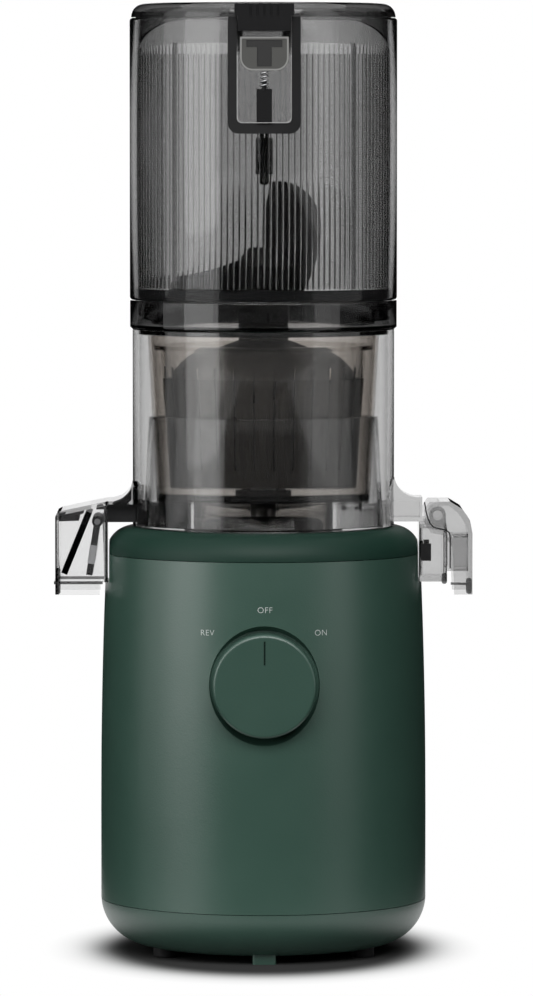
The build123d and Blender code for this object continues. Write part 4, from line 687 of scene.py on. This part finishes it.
def hood_trim():
    """Painted shade in the hood: a dark strip under the chute's roof inside the hood's web and another in its
    outer top corner, opaque black in place of the dark band below the roof; and the lip round its lower edge
    with a bead at the outer end, in a denser smoke than the hood, which paints their dark outline: flat
    outlines in x and z or x and y, carried straight."""
    roof_shade = np.array([(-80.1, 214.0), (-80.1, 213.1), (-71.7, 213.1), (-66.0, 215.3), (-63.4, 217.6),
                     (-63.4, 222.4), (-65.2, 219.9), (-68.0, 217.6), (-72.0, 215.9)]) * MM
    corner_shade = np.array([(-97.7, 210.5), (-97.7, 207.6), (-88.4, 207.9), (-88.4, 210.6), (-86.2, 211.4),
                       (-86.2, 212.5)]) * MM
    lip = np.array([(-77.0, -18.6), (-100.3, -18.6), (-100.3, 18.6), (-77.0, 18.6), (-77.0, 16.2),
                    (-97.9, 16.2), (-97.9, -16.2), (-77.0, -16.2)]) * MM
    # the two dark pieces paint the shade below the roof; the lip and bead paint a dark outline in dense smoke
    for name, outline, low, high, axis, finish, slot in (
            ("chute_painted_shade", roof_shade, -12.5, 12.5, 1, "dark", "dark_plastic"),
            ("hood_corner_painted_shade", corner_shade, -15.9, 15.9, 1, "dark", "dark_plastic"),
            ("hood_lip", lip, 177.6, 179.0, 2, "rib", "clear"),
            ("hood_bead", bar(-99.7, -97.2, 185.5, 172.9, 1.1), -18.7, -16.2, 1, "rib", "clear")):
        dress(prism(name, [outline], low * MM, high * MM, axis), finish, "chamber")


def cap_trim():
    """Painted shade along the juice cap's edge against the spout, as a dark strip; a lip and bead at its
    lower end, and the spout's bead, in a denser smoke than the spout, which paints their dark outline: flat
    outlines in x and z, from just in front of their node to a depth."""
    gap = [(77.0, 216.8), (77.6, 213.0), (78.4, 209.6), (79.6, 206.6), (81.5, 204.6), (85.1, 203.8),
           (87.5, 203.3), (88.9, 202.2), (89.3, 200.1), (89.3, 196.0), (89.3, 190.0), (89.3, 185.0)]
    edge = ribbon(gap, 0.6) * MM
    cap_bead, spout_bead = bar(96.9, 99.7, 180.4, 172.9, 1.2), bar(85.3, 87.9, 182.6, 177.4, 1.2)
    lip = np.array([(89.6, 177.2), (97.2, 177.0), (97.2, 178.1), (89.6, 178.3)]) * MM
    # the dark strip paints the shade along the cap's joint; the lip and beads paint a dark outline in dense
    # smoke
    for name, outline, node, body, finish, slot, depth in (
            ("cap_edge_shade", edge, "juice_cap", "juice_cap", "dark", "dark_plastic", 0.2),
            ("cap_bead", cap_bead, "juice_cap", "juice_cap", "rib", "clear", 1.9),
            ("cap_lip", lip, "juice_cap", "juice_cap", "rib", "clear", 1.9),
            ("spout_bead", spout_bead, "juice_spout", "chamber", "rib", "clear", 1.9)):
        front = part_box(node)[0].y
        dress(prism(name, [outline], front - 0.3 * MM, front + depth * MM, 1), finish, body)


# ---------------------------------------------------------------- printed words
def barrel_radius(z):
    """Radius of the barrel at a height: straight at first, then a long shallow arc that leans in."""
    arc = (BARREL_RISE ** 2 + BARREL_LEAN ** 2) / (2 * BARREL_LEAN)
    return BARREL_R - arc + np.sqrt(arc * arc - np.maximum(0.0, z - BARREL_STRAIGHT) ** 2)


def printed_word(word, x, z):
    """Word printed on the barrel: its flat outline is wrapped round the axis, each point to the angle
    x / radius, a hair off the surface."""
    curve = bpy.data.curves.new("word_" + word.lower(), "FONT")
    curve.body = word
    curve.size = LETTER_HEIGHT / CAPITAL
    curve.align_x, curve.align_y = "CENTER", "CENTER"
    curve.space_character = 1.08
    curve.offset = -0.05 * MM
    curve.resolution_u = 6
    source = bpy.data.objects.new("outline_" + word.lower(), curve)
    bpy.context.scene.collection.objects.link(source)
    flat = bpy.data.meshes.new_from_object(source)
    bpy.data.objects.remove(source)
    points = np.empty(len(flat.vertices) * 3)
    flat.vertices.foreach_get("co", points)
    points = points.reshape(-1, 3)
    tall = points[:, 1] + z
    radius = barrel_radius(tall) + PRINT_GAP
    angle = (points[:, 0] + x) / radius
    wrapped = np.stack([radius * np.sin(angle), -radius * np.cos(angle), tall], -1)
    faces = [tuple(p.vertices) for p in flat.polygons]
    dress(add_mesh("print_" + word.lower(), wrapped, faces, recalc=False), "label", "base")


# ---------------------------------------------------------------- stage, camera and light
def floor_and_world():
    """Pale floor that catches the shadow round the base, with a painted shadow darkening its own colour near
    the base, and runs out to white, and a white surround.
    """
    half = FLOOR_HALF
    floor = add_mesh("floor", [(-half, -half, 0), (half, -half, 0), (half, half, 0), (-half, half, 0)],
                     [(0, 1, 2, 3)], recalc=False)
    make = material("pale_floor")
    far = make.node("ShaderNodeVectorMath", {"operation": "LENGTH"}, [make.place((1.3, 1.0, 1.0))], output=1)
    # painted shadow: the floor's colour turns almost black near the base, a contact shadow painted in beside
    # the one the lamps cast
    painted_shadow = make.blend_colours(make.fade(far, PAINTED_SHADOW_EDGE), grey(0.06), grey(0.93))
    bounce = make.node("ShaderNodeLightPath", output="Is Diffuse Ray")
    lit = make.principled(Base_Color=make.blend_colours(bounce, painted_shadow, grey(0.3)), Roughness=0.9,
                          Specular_IOR_Level=0.0)
    glow = make.node("ShaderNodeEmission", {}, {"Strength": 1.0})
    away = make.fade(far, GLOW_EDGE) * make.seen_directly()
    floor.data.materials.append(make.done(make.mix(away, lit, glow)))

    world = bpy.data.worlds.new("studio")
    bpy.context.scene.world = world
    make = Shader(world, "ShaderNodeOutputWorld")
    dim, white = (make.node("ShaderNodeBackground", {}, {"Color": grey(1.0), "Strength": strength})
                  for strength in (AMBIENT, 1.0))
    make.done(make.mix(make.seen_directly(), dim, white))


def aim(obj, target):
    """Turn an object's -Z axis to a point."""
    obj.rotation_euler = (Vector(target) - obj.location).to_track_quat("-Z", "Y").to_euler()


def softbox(name, place, size, watts):
    """Rectangular soft lamp, turned to the object."""
    lamp = bpy.data.lights.new(name, "AREA")
    lamp.shape = "RECTANGLE"
    lamp.size, lamp.size_y = size
    lamp.energy = watts
    obj = bpy.data.objects.new(name, lamp)
    obj.location = place
    bpy.context.scene.collection.objects.link(obj)
    aim(obj, LAMP_TARGET)
    return obj


def dark_flags():
    """Black cloth beside, behind and in front of the object, and on the floor round it, which only
    reflections and matt bounces meet.  Each stands on the line between two points (x, y), up to a height, or
    lies between them where that is 0.  The last value says whether light through clear walls meets it too,
    which gives them their dark edges."""
    make = material("black_cloth")
    cloth = make.done(make.principled(Base_Color=grey(0.01), Roughness=1.0, Specular_IOR_Level=0.0))
    flags = [("front", (-3.4, -3.5, 3.4, -3.5), 3.0, True),
             ("floor_front", (-0.15, -3.4, 0.15, -0.15), 0.0, False),
             ("side_right", (1.2, 0.1, 1.2, -0.5), 1.6, False)]
    for side, sign in (("left", -1), ("right", 1)):
        flags += [("near_" + side, (sign * 0.16, 1.3, sign * 0.6, 0.79), 1.6, False),
                  ("far_" + side, (sign * 0.6, 0.79, sign * 1.2, 0.1), 1.6, True),
                  ("floor_" + side, (sign * 0.15, -3.4, sign * 1.2, 1.3), 0.0, False)]
    low = 0.001
    for name, (x0, y0, x1, y1), top, meets_light in flags:
        if top:
            corners = [(x0, y0, low), (x1, y1, low), (x1, y1, top), (x0, y0, top)]
        else:
            corners = [(x0, y0, low), (x1, y0, low), (x1, y1, low), (x0, y1, low)]
        flag = add_mesh("flag_" + name, corners, [(0, 1, 2, 3)], recalc=False)
        flag.data.materials.append(cloth)
        flag.visible_camera = False
        flag.visible_transmission = meets_light
        flag.visible_shadow = False


def camera_and_lights():
    """Camera in front, looking slightly down, and five soft lamps."""
    camera = bpy.data.cameras.new("camera")
    camera.sensor_width = 36.0
    camera.lens = CAMERA_LENS
    camera.clip_start, camera.clip_end = 0.1, 50.0
    obj = bpy.data.objects.new("camera", camera)
    obj.location = CAMERA_PLACE
    bpy.context.scene.collection.objects.link(obj)
    aim(obj, CAMERA_TARGET)
    bpy.context.scene.camera = obj
    softbox("key_left", (-1.33, -0.92, 0.45), (0.95, 1.6), 10.8)
    softbox("fill_right", (1.17, -1.09, 0.45), (0.7, 1.5), 0.9)
    softbox("front_high", (0.1, -2.1, 1.9), (2.6, 1.5), 62.0)
    softbox("top", (0.0, 0.4, 2.2), (1.2, 0.9), 3.0)
    back = softbox("back_high", (0.5, 2.3, 1.5), (1.4, 1.0), 20.0)
    back.visible_glossy = back.visible_transmission = False
    dark_flags()
    bpy.context.scene.view_settings.view_transform = "Standard"


# ---------------------------------------------------------------- assembly
NODE_FINISH = {
    "green": ["base_pan", "body_shell", "control_knob", "front_foot"],
    # the top cover takes the darker green of painted shade
    "cover": ["top_cover"],
    "dark": ["chamber_seat", "switch_body", "cooling_fan", "gearbox_cover", "gearbox_case", "pulp_deflector",
             "pulp_flap", "latch_keeper", "latch_cap", "motor_lower_bell", "motor_upper_bell",
             "hopper_floor"],
    "rubber": ["feet", "shaft_seal", "cord_gland", "motor_mounts", "bowl_seal", "spout_packing",
               "window_frame", "pulp_chute"],
    "steel": ["base_screws", "switch_shaft", "switch_screws", "motor_screws", "motor_shaft", "gearbox_screws",
              "idler_axle", "output_bearings", "motor_bearings", "drive_shaft", "drive_bush", "flap_pin",
              "hinge_pin"],
    "iron": ["motor_stator", "motor_rotor"],
    "copper": ["stator_windings"],
    "gear": ["idler_gear", "output_gear"],
    "board": ["control_board"],
    "lid": ["lid", "lid_tongue"],
    "spout": ["juice_spout", "juice_cap", "cap_pin", "cap_seal"],
    "hood": ["pulp_spout"],
    "grey": ["screw"],
    "strainer": ["strainer"],
    "plate": ["latch_button", "lock_rod"],
    "wing": ["cutting_wing"],
}


def dress_nodes():
    """Give every CAD node its finish."""
    for finish, nodes in NODE_FINISH.items():
        for node in nodes:
            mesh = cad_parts[node].data
            mesh.materials.clear()
            mesh.materials.append(FINISH[finish])


floor_and_world()
camera_and_lights()
dress_nodes()
hopper()
chamber()
latch_trim()
latch_coil()
knob_groove_shade()
flap_band()
hood_trim()
cap_trim()
for word, x, z in PRINTED:
    printed_word(word, x * MM, z * MM)
